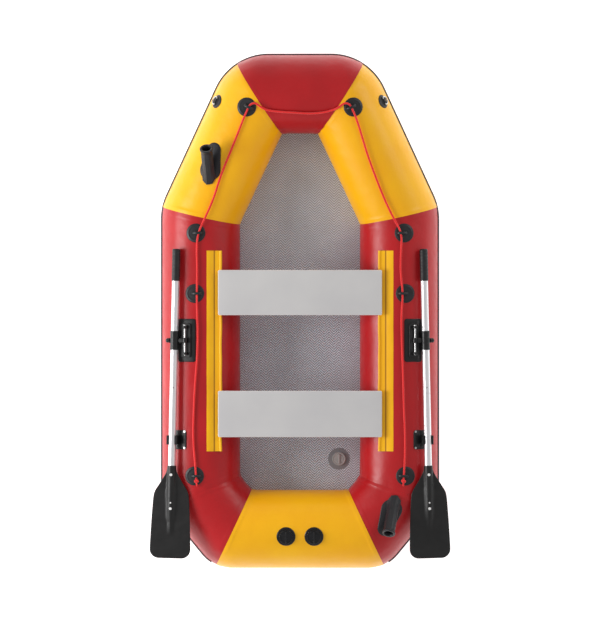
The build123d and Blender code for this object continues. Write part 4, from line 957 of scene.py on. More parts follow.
rope_line, rope_length = even_line(nurbs_line(ROPE_ROUTE), ROPE_STEP)
travel = np.linspace(0, rope_length, len(rope_line))
print("lifeline length", round(float(rope_length), 3), "m")

# %% [markdown]
# The braid is sixteen-plait: bright red strands, a darker shadow between them. The rope's own UV gives distance
# along and round it, so the strands cross wherever it bends.

# %% Braided rope
BRAID_PITCH, STRAND, SWELL, ROPE_COLUMNS = 0.014, 0.0035, 0.06, 14


def braided_rope():
    """Polypropylene braid: two families of slanting strands that cross, with shadow in the gaps."""
    material, tree, shader = new_finish("red_braided_polypropylene", Roughness=0.55, Sheen_Weight=0.3, IOR=1.49)
    u, v, _ = add_node(tree, "SeparateXYZ", {0: add_node(tree, "TexCoord").outputs["UV"]}).outputs
    strands = []
    for way in (1.0, -1.0):
        round_it = add_node(tree, "Math", {0: v, 1: way}, operation="MULTIPLY").outputs[0]
        slant = add_node(tree, "Math", {0: u, 1: round_it}, operation="ADD").outputs[0]
        saw = add_node(tree, "Math", {0: slant, 1: STRAND}, operation="PINGPONG").outputs[0]
        strands.append(add_node(tree, "MapRange", {"Value": saw, "From Max": STRAND}).outputs["Result"])
    crossing = add_node(tree, "Math", {0: strands[0], 1: strands[1]}, operation="MAXIMUM").outputs[0]
    tree.links.new(blend_colours(tree, crossing, "b8060a", "ff1416"), shader.inputs["Base Color"])
    tree.links.new(bump(tree, crossing, 0.0006), shader.inputs["Normal"])
    return material


BRAID = braided_rope()
rope_angle, rope_travel = np.meshgrid(turns(ROPE_COLUMNS), travel)
plait = rope_travel * 2 * np.pi / BRAID_PITCH
braid_height = np.cos(plait + rope_angle * 2) * np.cos(plait - rope_angle * 2)
rope_points = tube_on(rope_line, ROPE * (1 + SWELL * braid_height), ROPE_COLUMNS)
rope_uv = np.stack([rope_travel, rope_angle * ROPE], axis=-1)
rope = build("lifeline_rope", [grid(rope_points, flip=True)], BRAID, rope_uv, sharp=80)


KNOT_SIZE, KNOT_AHEAD, KNOT_HIGH, TAIL_LONG = (0.0026, 0.0026, 0.0035), 0.006, 0.004, 0.026


def knot_shape(end, away):
    """A stopper knot: a tube along a trefoil, (sin t + 2 sin 2t, cos t - 2 cos 2t, -sin 3t)."""
    t = np.linspace(0, 2 * np.pi, 73)[:-1]
    x, y, z = np.sin(t) + 2 * np.sin(2 * t), np.cos(t) - 2 * np.cos(2 * t), -np.sin(3 * t)
    forward = unit(away)
    side = unit(np.cross(forward, [0, 0, 1]))
    axes = np.array([side, np.cross(side, forward), forward])
    trefoil = np.stack([x, y, z], axis=-1) * KNOT_SIZE
    line = end + KNOT_AHEAD * forward + (0, 0, KNOT_HIGH) + trefoil @ axes
    tangent = unit(np.roll(line, -1, axis=0) - np.roll(line, 1, axis=0))
    across = unit(np.cross(tangent, forward + 0.3 * side))
    up = np.cross(across, tangent)
    angle = turns(12)
    ring = np.cos(angle)[:, None] * across[:, None] + np.sin(angle)[:, None] * up[:, None]
    points = line[:, None] + ROPE * 0.86 * ring
    return grid(np.concatenate([points, points[:1]]), capped=False, flip=True)


def tail_shape(end, away):
    """The cut end of the rope beyond the knot, closed by a melted, rounded tip."""
    forward = unit(away)
    steps = np.linspace(0, 1, 14)
    ahead, high = 0.004 + TAIL_LONG * steps, KNOT_HIGH - 0.006 * steps**2
    line = end + forward * ahead[:, None] + np.array([0, 0, 1.0]) * high[:, None]
    radius = ROPE * 0.92 * np.sqrt(np.clip(1 - np.clip((steps - 0.8) / 0.2, 0, 0.98) ** 2, 0, 1))
    return grid(tube_on(line, radius[:, None], 12), flip=True)


knot_shapes = []
for end, inner in ((ROPE_ROUTE[0], ROPE_ROUTE[1]), (ROPE_ROUTE[-1], ROPE_ROUTE[-2])):
    knot_shapes += [knot_shape(end, end - inner), tail_shape(end, end - inner)]
knot_points = np.concatenate([shape[0].reshape(-1, 3) for shape in knot_shapes])
knots = outward(build("lifeline_stopper_knots", knot_shapes, BRAID, knot_points[:, :2]))
settle(rope, "hull", "rope_red", "lifeline")
settle(knots, "hull", "rope_red", "lifeline_knots")
print("rope faces:", len(rope.data.polygons))

# %% [markdown]
# ## Turned parts
# Caps, knobs, bosses, shafts and collars are turned shapes: a profile of radius and height, carried round an
# axis. One function makes them all. Its radius may swell and dip round the axis, for knurls, lobes and ribs.
# A port fitting's starboard twin is the same points with x turned over, and its faces wound the other way.

# %% Turned shapes


def lathe(origin, axes, profile, columns=48, lobes=0, depth=0.0, lobe_rows=None):
    """(radius, height) rows turned round axes[2]; lobes waves of the given depth on the marked rows."""
    profile = np.asarray(profile, float)
    angle = turns(columns)
    marked = np.ones(len(profile)) if lobe_rows is None else np.asarray(lobe_rows, float)
    swell = 1 - depth * marked[:, None] * (0.5 - 0.5 * np.cos(lobes * angle))
    radius = profile[:, :1] * swell
    x, y = radius * np.cos(angle), radius * np.sin(angle)
    turned = np.stack(np.broadcast_arrays(x, y, profile[:, 1:]), axis=-1)
    return grid(in_axes(origin, axes, turned), capped=False)


def rounded_profile(radius, low, high, edge, bottom_edge=None):
    """Profile of a disc or rod between two heights, its rims rounded, closed at the axis."""
    under = edge if bottom_edge is None else bottom_edge
    lower = (radius - under, low + under) + under * circle(np.radians(np.linspace(-90, 0, 6)))
    upper = (radius - edge, high - edge) + edge * circle(np.radians(np.linspace(0, 90, 6)))
    inner = radius * 0.6
    return np.concatenate([[(0, low), (inner, low)], lower, upper, [(inner, high), (0, high)]])


def mirrored(shape):
    """The same shape on the other side of the boat."""
    points, faces = shape
    return points * (-1, 1, 1), [face[::-1] for face in faces]


def both_sides(name, shapes, finish, bodies, slot, nodes, **options):
    """Builds the port piece and its starboard twin, each on its own body and standing for its own nodes."""
    for side, shapes_here in (("port", shapes), ("starboard", [mirrored(s) for s in shapes])):
        made = outward(build(f"{side}_{name}", shapes_here, finish, **options))
        settle(made, bodies.format(side), slot, *[node.format(side) for node in nodes])


PAD_EDGE, PAD_CORNER, PAD_THICK = 0.003, 0.012, 0.004


def pad(half_x, half_y):
    """Rounded rectangular foot as rings from the middle out: flat top and a rolled edge."""
    direction, centre = rounded_rectangle(half_x, half_y, PAD_CORNER)
    inner = centre + direction * (PAD_CORNER - PAD_EDGE)
    rows = [at_height(inner * share, PAD_THICK) for share in (0.0, 0.35, 0.7, 0.9)]
    for inset, share in ((PAD_EDGE, 1.0), (0.0016, 0.93), (0.0006, 0.72), (0.0, 0.4), (0.0, 0.0)):
        rows.append(at_height(centre + direction * (PAD_CORNER - inset), PAD_THICK * share))
    return np.array(rows)


def block(origin, axes, half_x, half_y, low, high, corner, edge):
    """Rounded block whose length, width and height run along three axes."""
    points = slab(half_x, half_y, corner, edge, low, high)
    return grid(in_axes(origin, axes, points), capped=False)


print("turned shapes ready")

# %% [markdown]
# ## Tow rings
# On each bow shoulder a patch holds a webbing loop, and a steel D-ring swings in the loop. The loop is a strap
# section carried across; the ring is a wire carried round a straight bar, two short legs and a half circle.

# %% Tow rings
TOW = (-(BOW_HALF + 0.177), BOW_Y - 0.038)
TOW_PATCH = 0.031
RING_WIRE, RING_HALF, RING_LIFT, RING_BEND = 0.003, 0.017, 0.0069, 0.004
STRAP_OUT, STRAP_IN, STRAP_EASE = 0.0053, 0.0031, (0, 0.0004)


def stainless():
    """Stainless steel: bright, with fine brushing that softens the highlight."""
    material, tree, shader = new_finish("brushed_stainless_steel", Metallic=1.0, Roughness=0.28)
    here = add_node(tree, "TexCoord").outputs["Object"]
    tone = mottle(tree, 60.0, 0, 1, here)
    tree.links.new(blend_colours(tree, tone, "c9c9c8", "b4b4b5"), shader.inputs["Base Color"])
    tree.links.new(mottle(tree, 500.0, 0.2, 0.38, here), shader.inputs["Roughness"])
    return material


STEEL = stainless()
tow_origin, tow_axes = seat_axes(SHOULDER, *TOW)
strap_turn = circle(np.linspace(-0.3, np.pi + 0.3, 20))
arch_out = (0, RING_LIFT) + STRAP_OUT * strap_turn
arch_in = ((0, RING_LIFT) + STRAP_IN * strap_turn)[::-1]
loop_section = np.concatenate([
    [(0.009, 0.0022)], arch_out, [(-0.009, 0.0022), (-0.006, 0.0012)],
    arch_in[:1] - STRAP_EASE, arch_in, arch_in[-1:] - STRAP_EASE, [(0.006, 0.0012)],
])
loop_along = np.array([-0.011, -0.0106, 0.0106, 0.011])[:, None]
loop_points = np.stack(np.broadcast_arrays(loop_along, loop_section[:, 0], loop_section[:, 1]), axis=-1)
loop = grid(in_axes(tow_origin, tow_axes, loop_points))
tow_patch = patch_shape(SHOULDER, *TOW, disc(TOW_PATCH, 0.0025, 0.3))
both_sides("tow_patch", [tow_patch, loop], BLACK_RUBBER, "hull", "moulded_rubber", ["tow_patches"])
bar_end = RING_HALF - RING_BEND
bend = np.radians([30, 60, 90])
right_bend = np.stack([bar_end + RING_BEND * np.sin(bend), RING_BEND - RING_BEND * np.cos(bend)], axis=-1)
ring_path = np.concatenate([
    np.stack([np.linspace(-bar_end, bar_end, 12), np.zeros(12)], axis=-1),
    right_bend,
    (0, RING_HALF / 2) + RING_HALF * circle(np.radians(np.linspace(0, 180, 26))),
    right_bend[::-1] * (-1, 1),
])
tangent = unit(np.roll(ring_path, -1, axis=0) - np.roll(ring_path, 1, axis=0))
side_way = np.stack([tangent[:, 1], -tangent[:, 0]], axis=-1)
wire_angle = turns(14)
spread = RING_WIRE * np.cos(wire_angle)
x, y = (ring_path[:, None, k] + spread * side_way[:, None, k] for k in (0, 1))
wire = np.stack(np.broadcast_arrays(x, y, RING_LIFT + RING_WIRE * np.sin(wire_angle)), axis=-1)
ring_shape = grid(in_axes(tow_origin, tow_axes, np.concatenate([wire, wire[:1]])), capped=False)
both_sides("d_ring", [ring_shape], STEEL, "{}_ring", "steel", ["{}_tow_ring"])
print("tow rings at", TOW)

# %% [markdown]
# ## Valves
# Each air chamber fills through a valve on the stern tube: a flange that curves with the tube, a round boss and
# a twist cap with finger scallops and a grip bar. The air deck has its own, sunk in the floor. They're moulded
# in black plastic that's a little glossier than the rubber round it.

# %% Hard plastics


def moulded_plastic(name, low, high, roughness, grain=0.0008):
    """Injection-moulded plastic: even colour, a fine spark grain, and a sheen that varies a little."""
    material, tree, shader = new_finish(name, Roughness=roughness, IOR=1.5, Specular_IOR_Level=0.42)
    here = add_node(tree, "TexCoord").outputs["Object"]
    tone = mottle(tree, 25.0, 0.0, 1.0, here)
    tree.links.new(blend_colours(tree, tone, low, high), shader.inputs["Base Color"])
    tree.links.new(mottle(tree, 80.0, roughness - 0.06, roughness + 0.08, here), shader.inputs["Roughness"])
    speck = add_node(tree, "TexNoise", {"Vector": here, "Scale": 1 / grain, "Detail": 2.0}).outputs["Fac"]
    tree.links.new(bump(tree, speck, grain * 0.08), shader.inputs["Normal"])
    return material


NYLON = moulded_plastic("black_glass_filled_nylon", "0c0c0e", "141416", 0.36)
VALVE_PLASTIC = moulded_plastic("black_valve_plastic", "0a0a0d", "121216", 0.28)
VALVE_GREY = moulded_plastic("grey_valve_plastic", "a3a1a0", "b4b2b1", 0.3)

# %% Valves
VALVE_HALF, VALVE_AFT, VALVE_FLANGE, VALVE_BOSS = 0.062, 0.023, 0.042, 0.031
SCALLOPS, SCALLOP_DEEP, RECESS = 24, 0.045, 0.0014
valve_at = (-VALVE_HALF, STERN_Y - VALVE_AFT)
valve_origin, valve_axes = seat_axes(STERN, *valve_at)
flange = patch_shape(STERN, *valve_at, disc(VALVE_FLANGE, 0.003, 0.2))
boss = lathe(valve_origin, valve_axes, rounded_profile(VALVE_BOSS, 0.0005, 0.007, 0.001, 0.0002), 64)
both_sides("valve_body", [flange, boss], VALVE_PLASTIC, "hull", "valve_black", ["{}_hull_valve_body"])


def twist_cap(origin, axes, radius, low, high, bar_half, bar_high):
    """Scalloped disc, a recessed ring on its top, and a grip bar across."""
    profile = rounded_profile(radius, low, high, 0.0015, 0.0004)
    sunk = high - RECESS
    top = [(radius * 0.84, high), (radius * 0.82, sunk), (radius * 0.66, sunk), (radius * 0.64, high), (0, high)]
    profile = np.concatenate([profile[:-2], top])
    marks = (profile[:, 0] > radius * 0.9) * 1.0
    cap = lathe(origin, axes, profile, 144, SCALLOPS, SCALLOP_DEEP, marks)
    bar = block(origin, axes, 0.0045, bar_half, high - 0.002, bar_high, 0.0044, 0.0022)
    return [cap, bar]


cap_shapes = twist_cap(valve_origin, valve_axes, VALVE_BOSS, 0.0073, 0.0133, 0.025, 0.0213)
both_sides("valve_cap", cap_shapes, VALVE_PLASTIC, "{}_valve_cap", "valve_black", ["{}_hull_valve_cap"])
floor_low, floor_high = node_box("floor_valve_cap")
floor_at = np.append((floor_low + floor_high)[:2] / 2, DECK_OVER)
floor_cap = twist_cap(floor_at, np.eye(3), 0.03, 0.0033, 0.0113, 0.022, 0.0163)
made = outward(build("floor_valve_twist_cap", floor_cap, VALVE_GREY))
settle(made, "deck_valve_cap", "valve_grey", "floor_valve_cap")
floor_ring_profile = [
    (0.0235, 0.0), (0.0235, 0.0026), (0.031, 0.003), (0.036, 0.0024), (0.043, 0.0016),
    (0.0485, 0.0012), (0.0485, -0.0005), (0.0235, -0.0005), (0.0235, 0.0),
]
floor_ring = lathe(floor_at, np.eye(3), floor_ring_profile, 72)
made = outward(build("floor_valve_rubber_ring", [floor_ring], BOTTOM_PVC, sharp=30))
settle(made, "hull", "deck_grey")
print("valves at", valve_at, floor_at.round(3))

# %% [markdown]
# ## Rod holders
# A rod holder is one rubber moulding: an egg-shaped foot, wide under the mouth, and a ribbed socket that leans
# over the narrow end. The foot is two circles and their tangents. The socket is turned about its own leaning
# axis, and every line of it is cut where it meets the tube.

# %% Rod holders
ROD_LEAN, ROD_START, ROD_LONG = np.radians(40.0), -0.06, 0.15
ROD_SOCKET, ROD_BORE, ROD_DEEP, ROD_RIM = 0.0255, 0.0205, 0.112, 0.029
RODS = {
    "port": (SHOULDER, -(BOW_HALF + 0.2), BOW_Y - 0.305, 15.0),
    "starboard": (STAR_QUARTER, STERN_HALF + 0.094, STERN_Y + 0.06, 20.0),
}


def egg(big, small, at_big, at_small):
    """Outline round two circles on one line, with straight tangents between them."""
    lean = np.arccos((big - small) / (at_small - at_big))
    narrow = np.linspace(-lean, lean, 32)
    wide = np.linspace(lean, 2 * np.pi - lean, 32)
    return np.concatenate([(at_small, 0) + small * circle(narrow), (at_big, 0) + big * circle(wide)])


def foot_rings(outline, centre, thick):
    """Rings of a foot from its centre out: a crowned top and a rolled edge."""
    rows = [(0.0, 1.5), (0.4, 1.45), (0.7, 1.25), (0.85, 1.1), (0.93, 1.0)]
    rows += [(0.965, 0.9), (0.985, 0.65), (1.0, 0.3), (1.0, 0.0)]
    return np.array([at_height(centre + (outline - centre) * share, thick * high) for share, high in rows])


def rod_socket(i, origin, axes):
    """Ribbed tube with a rim and a bored socket, its lower end cut by the tube it stands on.

    A point of the mouth, m, moves back along the lean, l, by d. It meets the tube where its distance from the
    tube's centreline is the radius: d is the smaller root of a d^2 - 2 b d + c = 0, with the parts of m and l
    square to the tube.
    """
    lean = axes[0] * np.cos(ROD_LEAN) + axes[2] * np.sin(ROD_LEAN)
    frame_here = np.array([axes[1], np.cross(lean, axes[1]), lean])
    base = origin + axes[0] * ROD_START
    angle = turns(96)
    rib = 0.0016 * np.clip(np.cos(8 * angle) * 2 - 1, 0, 1)
    radius = ROD_SOCKET + rib
    ring = np.stack([radius * np.cos(angle), radius * np.sin(angle), np.zeros(96)], axis=-1) @ frame_here
    mouth = base + lean * ROD_LONG + ring
    q = mouth - CORNERS[i]
    q, l = q - (q @ ALONG[i])[..., None] * ALONG[i], lean - (lean @ ALONG[i]) * ALONG[i]
    a, b, c = l @ l, q @ l, (q * q).sum(axis=-1) - (TUBE + 0.002) ** 2
    down = (b - np.sqrt(np.clip(b * b - a * c, 0, None))) / a
    down = np.where(b * b - a * c > 0, down, ROD_LONG)
    rows = []
    plain = ring / radius[:, None]
    for share in (1.0, 0.97, 0.9, 0.75, 0.5, 0.25):
        flare = np.clip((share - 0.85) / 0.15, 0, 1) * 0.006
        spread = plain * (radius[:, None] + flare)
        rows.append(base + lean * ROD_LONG + spread - lean * (down * share)[:, None])
    rim = [
        (ROD_SOCKET, 0.013), (ROD_SOCKET + 0.0012, 0.0095), (ROD_RIM - 0.001, 0.0085), (ROD_RIM, 0.0072),
        (ROD_RIM, 0.0016), (ROD_RIM - 0.0016, 0.0), (ROD_BORE + 0.0014, 0.0), (ROD_BORE, 0.0014),
        (ROD_BORE, 0.03), (ROD_BORE, 0.08), (ROD_BORE, ROD_DEEP), (0.001, ROD_DEEP),
    ]
    for r, back in rim:
        rows.append(base + lean * (ROD_LONG - back) + plain * r)
    return grid(np.array(rows))


foot_flat = foot_rings(egg(0.047, 0.034, -0.038, 0.05), np.array([-0.01, 0.0]), 0.004)
for side, (i, x, y, turn_by) in RODS.items():
    shapes = [patch_shape(i, x, y, foot_flat, turn_by), rod_socket(i, *seat_axes(i, x, y, turn_by))]
    made = outward(build(f"{side}_rod_holder_moulding", shapes, BLACK_RUBBER, sharp=50))
    settle(made, "hull", "moulded_rubber", f"{side}_rod_holder")
    print(made.name, "foot at", round(x, 3), round(y, 3))

# %% [markdown]
# ## Rowlocks
# A rowlock is a nylon base on a rubber pad, with two lugs that hold a steel pin. An arm swings on the pin and
# its stem goes through the oar's collar, where a ball-ended nut keeps it. The arm, collar and oar move as one.

# %% Rowlocks
ROWLOCK = (-(SIDE_X + 0.059), -0.128)
PIN_HIGH, LUG_AT, STEM_DROOP, STEM_TO_OAR = 0.022, 0.058, np.radians(16.0), 0.048
COLLAR, OAR, NUT = 0.0197, 0.01625, 0.0103
row_origin, row_axes = seat_axes(SIDE, *ROWLOCK)
pin_origin = row_origin + row_axes[2] * PIN_HIGH
pin_axes = np.array([row_axes[1], row_axes[2], row_axes[0]])
lug_angle = np.radians(np.linspace(-8, 188, 22))
lug_section = np.concatenate([[(0.0108, -0.0135)], circle(lug_angle) * 0.0095, [(-0.0108, -0.0135)]])


def lug(at, half_wide):
    """A rounded lug across the base, its two faces bevelled."""
    rows = []
    for along, pull in ((-1, 0.88), (-0.97, 0.96), (-0.88, 1.0), (0.88, 1.0), (0.97, 0.96), (1, 0.88)):
        rows.append(at_height(lug_section * pull, at + along * half_wide))
    return grid(in_axes(pin_origin, pin_axes, np.array(rows)))


base_shapes = [
    patch_shape(SIDE, *ROWLOCK, pad(0.096, 0.042)),
    block(row_origin, row_axes, 0.075, 0.023, 0.0005, 0.010, 0.009, 0.0025),
    block(row_origin, row_axes, 0.045, 0.016, 0.008, 0.0118, 0.006, 0.0014),
    lug(-LUG_AT, 0.006),
    lug(LUG_AT, 0.006),
]
both_sides("rowlock_base_moulding", base_shapes, NYLON, "hull", "nylon", ["rowlock_bases"])
stem_way = np.array([-np.cos(STEM_DROOP), 0, -np.sin(STEM_DROOP)])
stem_axes = np.array([(0, 1, 0), np.cross(stem_way, (0, 1, 0)), stem_way])
shoulder_at = STEM_TO_OAR - COLLAR - 0.0005
barrel_axes = np.array([(1, 0, 0), (0, 0, -1), (0, 1, 0)])
arm_shapes = [
    lathe(pin_origin, barrel_axes, rounded_profile(0.011, -0.011, 0.011, 0.0018), 40),
    block(pin_origin, stem_axes, 0.011, 0.005, 0.0, shoulder_at, 0.0045, 0.0012),
    lathe(pin_origin, stem_axes, rounded_profile(0.005, shoulder_at - 0.002, 0.08, 0.0008), 24),
]
both_sides("rowlock_arm_moulding", arm_shapes, NYLON, "{}_oar", "nylon", ["{}_rowlock_arm"])
nut_at = pin_origin + stem_way * (STEM_TO_OAR + COLLAR + 0.0005)
dome = np.radians(np.linspace(0, 90, 9))
nut_profile = np.concatenate([
    [(0, 0), (NUT * 0.7, 0), (NUT * 0.93, 0.0004), (NUT, 0.0014)],
    [(NUT, 0.0075), (NUT * 0.88, 0.0088), (NUT * 0.9, 0.0098)],
    (0, 0.0105) + NUT * circle(dome),
])
nut_marks = [0, 0, 1, 1, 1, 0, 0] + [0] * 9
nut_shape = lathe(nut_at, stem_axes, nut_profile, 72, 12, 0.06, nut_marks)
both_sides("rowlock_ball_nut", [nut_shape], NYLON, "{}_nut", "nylon", ["{}_rowlock_nut"])
print("pin at", pin_origin.round(4))

# %% [markdown]
# ## Oars
# Each oar is a two-piece aluminium tube with a ribbed rubber grip, a nylon collar at the rowlock and a flat
# moulded blade. Distances are along the shaft from the rowlock, towards the grip. The tube is anodised, which
# leaves it satin and almost white, with faint lengthwise drawing lines.

# %% Oar finishes


def anodised(name):
    """Clear-anodised drawn aluminium: satin, with faint lines along the tube."""
    material, tree, shader = new_finish(name, Metallic=0.72, Roughness=0.34, Coat_Weight=0.2, Coat_Roughness=0.2)
    here = add_node(tree, "TexCoord").outputs["Object"]
    drawn = add_node(tree, "Mapping", {"Vector": here, "Scale": (700.0, 6.0, 700.0)}).outputs[0]
    lines = mottle(tree, 1.0, 0.0, 1.0, drawn, 4.0)
    tree.links.new(blend_colours(tree, lines, "f6f4f6", "e4e3e6"), shader.inputs["Base Color"])
    tree.links.new(mottle(tree, 1.0, 0.26, 0.42, drawn), shader.inputs["Roughness"])
    return material


ALUMINIUM = anodised("anodised_aluminium_tube")
GRIP_RUBBER = rubber("black_grip_rubber", "121113", "1b1a1c", 0.5, 0.001)
BLADE_PP = moulded_plastic("black_polypropylene_blade", "111010", "1a1919", 0.42, 0.0015)
RIVET = moulded_plastic("white_nylon_rivet", "e9e8e6", "f4f3f1", 0.3)

# %% [markdown]
# The shaft's parts are turned about the oar's own axis, which points a little inboard at the grip.

# %% Shafts, grips and collars
TOE, TILT = np.radians(1.23), np.radians(5.0)
oar_at = pin_origin + stem_way * STEM_TO_OAR
oar_z = np.array([np.sin(TOE), np.cos(TOE), 0])
oar_x = unit(np.array([-np.cos(TILT), 0, -np.sin(TILT)]) - oar_z * (-np.cos(TILT) * np.sin(TOE)))
oar_axes = np.array([oar_x, np.cross(oar_z, oar_x), oar_z])
SPLIT, BUTTON_AT, GRIP_FROM, GRIP_TO = -0.234, -0.209, 0.264, 0.406
BLADE_END, SHAFT_END = -0.966, -0.69


def pipe_profile(radius, wall, low, high, edge):
    """Closed profile of a tube: outside, both bevelled ends and inside."""
    bore = radius - wall
    outside = [(bore, low), (radius - edge, low), (radius, low + edge), (radius, high - edge), (radius - edge, high)]
    return outside + [(bore, high), (bore, low)]


def turned_oar(profile, **lobes):
    """A profile turned about the port oar."""
    return lathe(oar_at, oar_axes, profile, **lobes)


swage = turned_oar([(OAR - 0.001, SPLIT), (OAR + 0.0004, SPLIT + 0.0006), (OAR + 0.0004, SPLIT + 0.0024),
                    (OAR - 0.001, SPLIT + 0.003), (OAR - 0.001, SPLIT)])
both_sides("oar_joint_swage", [swage], ALUMINIUM, "{}_oar", "oar_aluminium", [], sharp=30)
lower = turned_oar(pipe_profile(OAR, 0.0024, SHAFT_END, SPLIT - 0.0004, 0.0006))
both_sides("oar_lower_tube", [lower], ALUMINIUM, "{}_oar", "oar_aluminium", ["{}_oar_lower_shaft"],
           sharp=30)
grip_at = np.linspace(GRIP_FROM, GRIP_TO - 0.008, 80)
ridge = 0.0011 * np.abs(np.sin((grip_at - GRIP_FROM) * np.pi / 0.0142)) ** 0.5
grip_radius = 0.0172 + ridge
grip_end = np.radians(np.linspace(0, 90, 8))
grip_profile = np.concatenate([
    [(OAR, GRIP_FROM - 0.0002), (0.0176, GRIP_FROM)], np.stack([grip_radius, grip_at], axis=-1)[1:],
    (0.0105, GRIP_TO - 0.008) + 0.008 * circle(grip_end),
    [(0.004, GRIP_TO - 0.0008), (0, GRIP_TO - 0.001), (0, GRIP_TO - 0.009)],
    [(OAR, GRIP_TO - 0.0095), (OAR, GRIP_FROM - 0.0002)],
])
grip = turned_oar(grip_profile)
both_sides("oar_hand_grip", [grip], GRIP_RUBBER, "{}_oar", "grip_rubber", ["{}_oar_grip"])
collar_profile = [(OAR, -0.042), (0.0187, -0.042), (COLLAR, -0.041), (COLLAR, -0.034), (0.0186, -0.0325),
                  (0.0186, -0.013), (COLLAR, -0.0115), (COLLAR, 0.0115), (0.0186, 0.013), (0.0186, 0.0325),
                  (COLLAR, 0.034), (COLLAR, 0.041), (0.0187, 0.042), (OAR, 0.042), (OAR, -0.042)]
collar = turned_oar(collar_profile)
both_sides("oar_collar_moulding", [collar], NYLON, "{}_oar", "nylon", ["{}_oar_collar"], sharp=30)
button_axes = np.array([oar_axes[2], oar_axes[0], oar_axes[1]])
button_profile = rounded_profile(0.004, OAR - 0.003, OAR + 0.0024, 0.0018, 0.0002)
button = lathe(oar_at + oar_axes[2] * BUTTON_AT, button_axes, button_profile, 24)
both_sides("oar_snap_button", [button], STEEL, "{}_button", "steel", ["{}_oar_spring_button"])
print("oar from", round(BLADE_END, 3), "to", GRIP_TO)

# %% [markdown]
# The blade is a flat plate with a socket moulded along its middle. At each distance along the oar its section
# is a closed loop: out along the top, round the edge and back underneath. The top is the higher of the plate
# and the socket's arch, eased together, and the socket narrows to a point near the tip.

# %% Blades
BLADE_PLATE, SOCKET, TIP_ROUND, TIP_FROM, PLATE_EDGE = 0.0025, 0.0195, 0.04, 0.926, 0.003
SPINE_FULL, SPINE_END = 0.745, 0.905
tip_sweep = np.sin(np.radians(np.linspace(0, 90, 20)))
blade_along = np.concatenate([np.linspace(0.555, TIP_FROM, 84)[:-1], TIP_FROM + TIP_ROUND * tip_sweep])
outline_at = [0.555, 0.578, 0.61, 0.64, 0.672, 0.7, 0.79, 0.912, 0.966]
outline_half = [0.0196, 0.02, 0.0372, 0.056, 0.0765, 0.0805, 0.0858, 0.0909, 0.0909]
half_wide = np.interp(blade_along, outline_at, outline_half)
kernel = np.ones(7) / 7
half_wide = np.convolve(np.pad(half_wide, 3, mode="edge"), kernel, mode="valid")
tip_turn = np.clip((blade_along - TIP_FROM) / TIP_ROUND, 0, 1)
half_wide = half_wide - TIP_ROUND * (1 - np.sqrt(np.clip(1 - tip_turn**2, 0, 1)))
spine_left = 1 - (blade_along - SPINE_FULL) / (SPINE_END - SPINE_FULL)
socket_radius = SOCKET * np.clip(spine_left, 0, 1)
plate = np.interp(blade_along, [0.56, 0.58, 0.95, 0.966], [0.0, BLADE_PLATE, BLADE_PLATE, BLADE_PLATE * 0.7])
x_top = half_wide[:, None] * np.cos(np.linspace(0, np.pi, 34))
arch = np.sqrt(np.clip(socket_radius[:, None] ** 2 - x_top**2, 0, None))
into_edge = np.clip((np.abs(x_top) - half_wide[:, None] + PLATE_EDGE) / PLATE_EDGE, 0, 1)
edge_round = np.sqrt(np.clip(1 - into_edge**2, 0, 1))
flat_part = plate[:, None] * edge_round
top = np.sqrt(arch**2 + flat_part**2) * 0.5 + np.maximum(arch, flat_part) * 0.5
blade_rows = np.concatenate([
    np.stack([x_top, top], axis=-1), np.stack([x_top, -top], axis=-1)[:, -2:0:-1],
], axis=1)
blade_points = np.array([at_height(row, -along) for row, along in zip(blade_rows, blade_along)])
blade = grid(in_axes(oar_at, oar_axes, blade_points))
both_sides("oar_blade_moulding", [blade], BLADE_PP, "{}_oar", "blade_plastic", ["{}_oar_blade"],
           sharp=60)
rivets = []
for at, size in ((0.595, 0.0062), (0.719, 0.0036), (0.745, 0.0062)):
    head = rounded_profile(size, SOCKET - 0.002, SOCKET + 0.0016, 0.0015, 0.0002)
    rivets.append(lathe(oar_at - oar_axes[2] * at, button_axes, head, 24))
both_sides("oar_blade_rivets", rivets, RIVET, "{}_oar", "blade_plastic", [])
print("blade", len(blade_along), "rows")

# %% [markdown]
# ## Oar clips
# Each oar rests in an open clip: a U of springy nylon on a short neck and a glued foot. The U is a middle line,
# straight, round and straight again, with a thickness to each side that swells into a lip at the ends.

# %% Clips
CLIP_OUT, CLIP_Y, CLIP_GAP, CLIP_WALL = 0.097, -0.569, 0.0005, 0.005
clip_at = oar_at + oar_axes[2] * ((CLIP_Y - ROWLOCK[1]) / np.cos(TOE))
spoke = unit((clip_at - (-SIDE_X, 0, TUBE)) * (1, 0, 1))
mouth = np.radians(13.4)
clip_up = np.array([-np.sin(mouth), 0, np.cos(mouth)])
clip_side = np.cross(clip_up, (0, 1, 0))
mid_radius = OAR + CLIP_GAP + CLIP_WALL / 2
u_angle = np.radians(np.linspace(180, 360, 26))
u_line = np.concatenate([
    np.stack([np.full(8, -mid_radius), np.linspace(0.0125, 0.001, 8)], axis=-1),
    mid_radius * circle(u_angle),
    np.stack([np.full(8, mid_radius), np.linspace(0.001, 0.0125, 8)], axis=-1),
])
u_normal = unit(np.stack([-np.gradient(u_line[:, 1]), np.gradient(u_line[:, 0])], axis=-1))
from_lip = np.minimum(np.arange(42), 41 - np.arange(42))
u_outer = CLIP_WALL / 2 + 0.0022 * np.exp(-((from_lip - 1.5) / 2.2) ** 2)
u_section = np.concatenate([u_line - u_normal * u_outer[:, None], (u_line + u_normal * CLIP_WALL / 2)[::-1]])
u_rows = np.array([at_height(u_section, at) for at in (-0.02, -0.0193, 0.0193, 0.02)])
u_rows[[0, 3], :, :2] *= 0.985
u_shape = grid(in_axes(clip_at, np.array([clip_side, clip_up, (0, 1, 0)]), u_rows))
neck_axes = np.array([np.cross((0, 1, 0), spoke), (0, 1, 0), spoke])
neck_origin = np.array([-SIDE_X, CLIP_Y, TUBE]) + spoke * TUBE
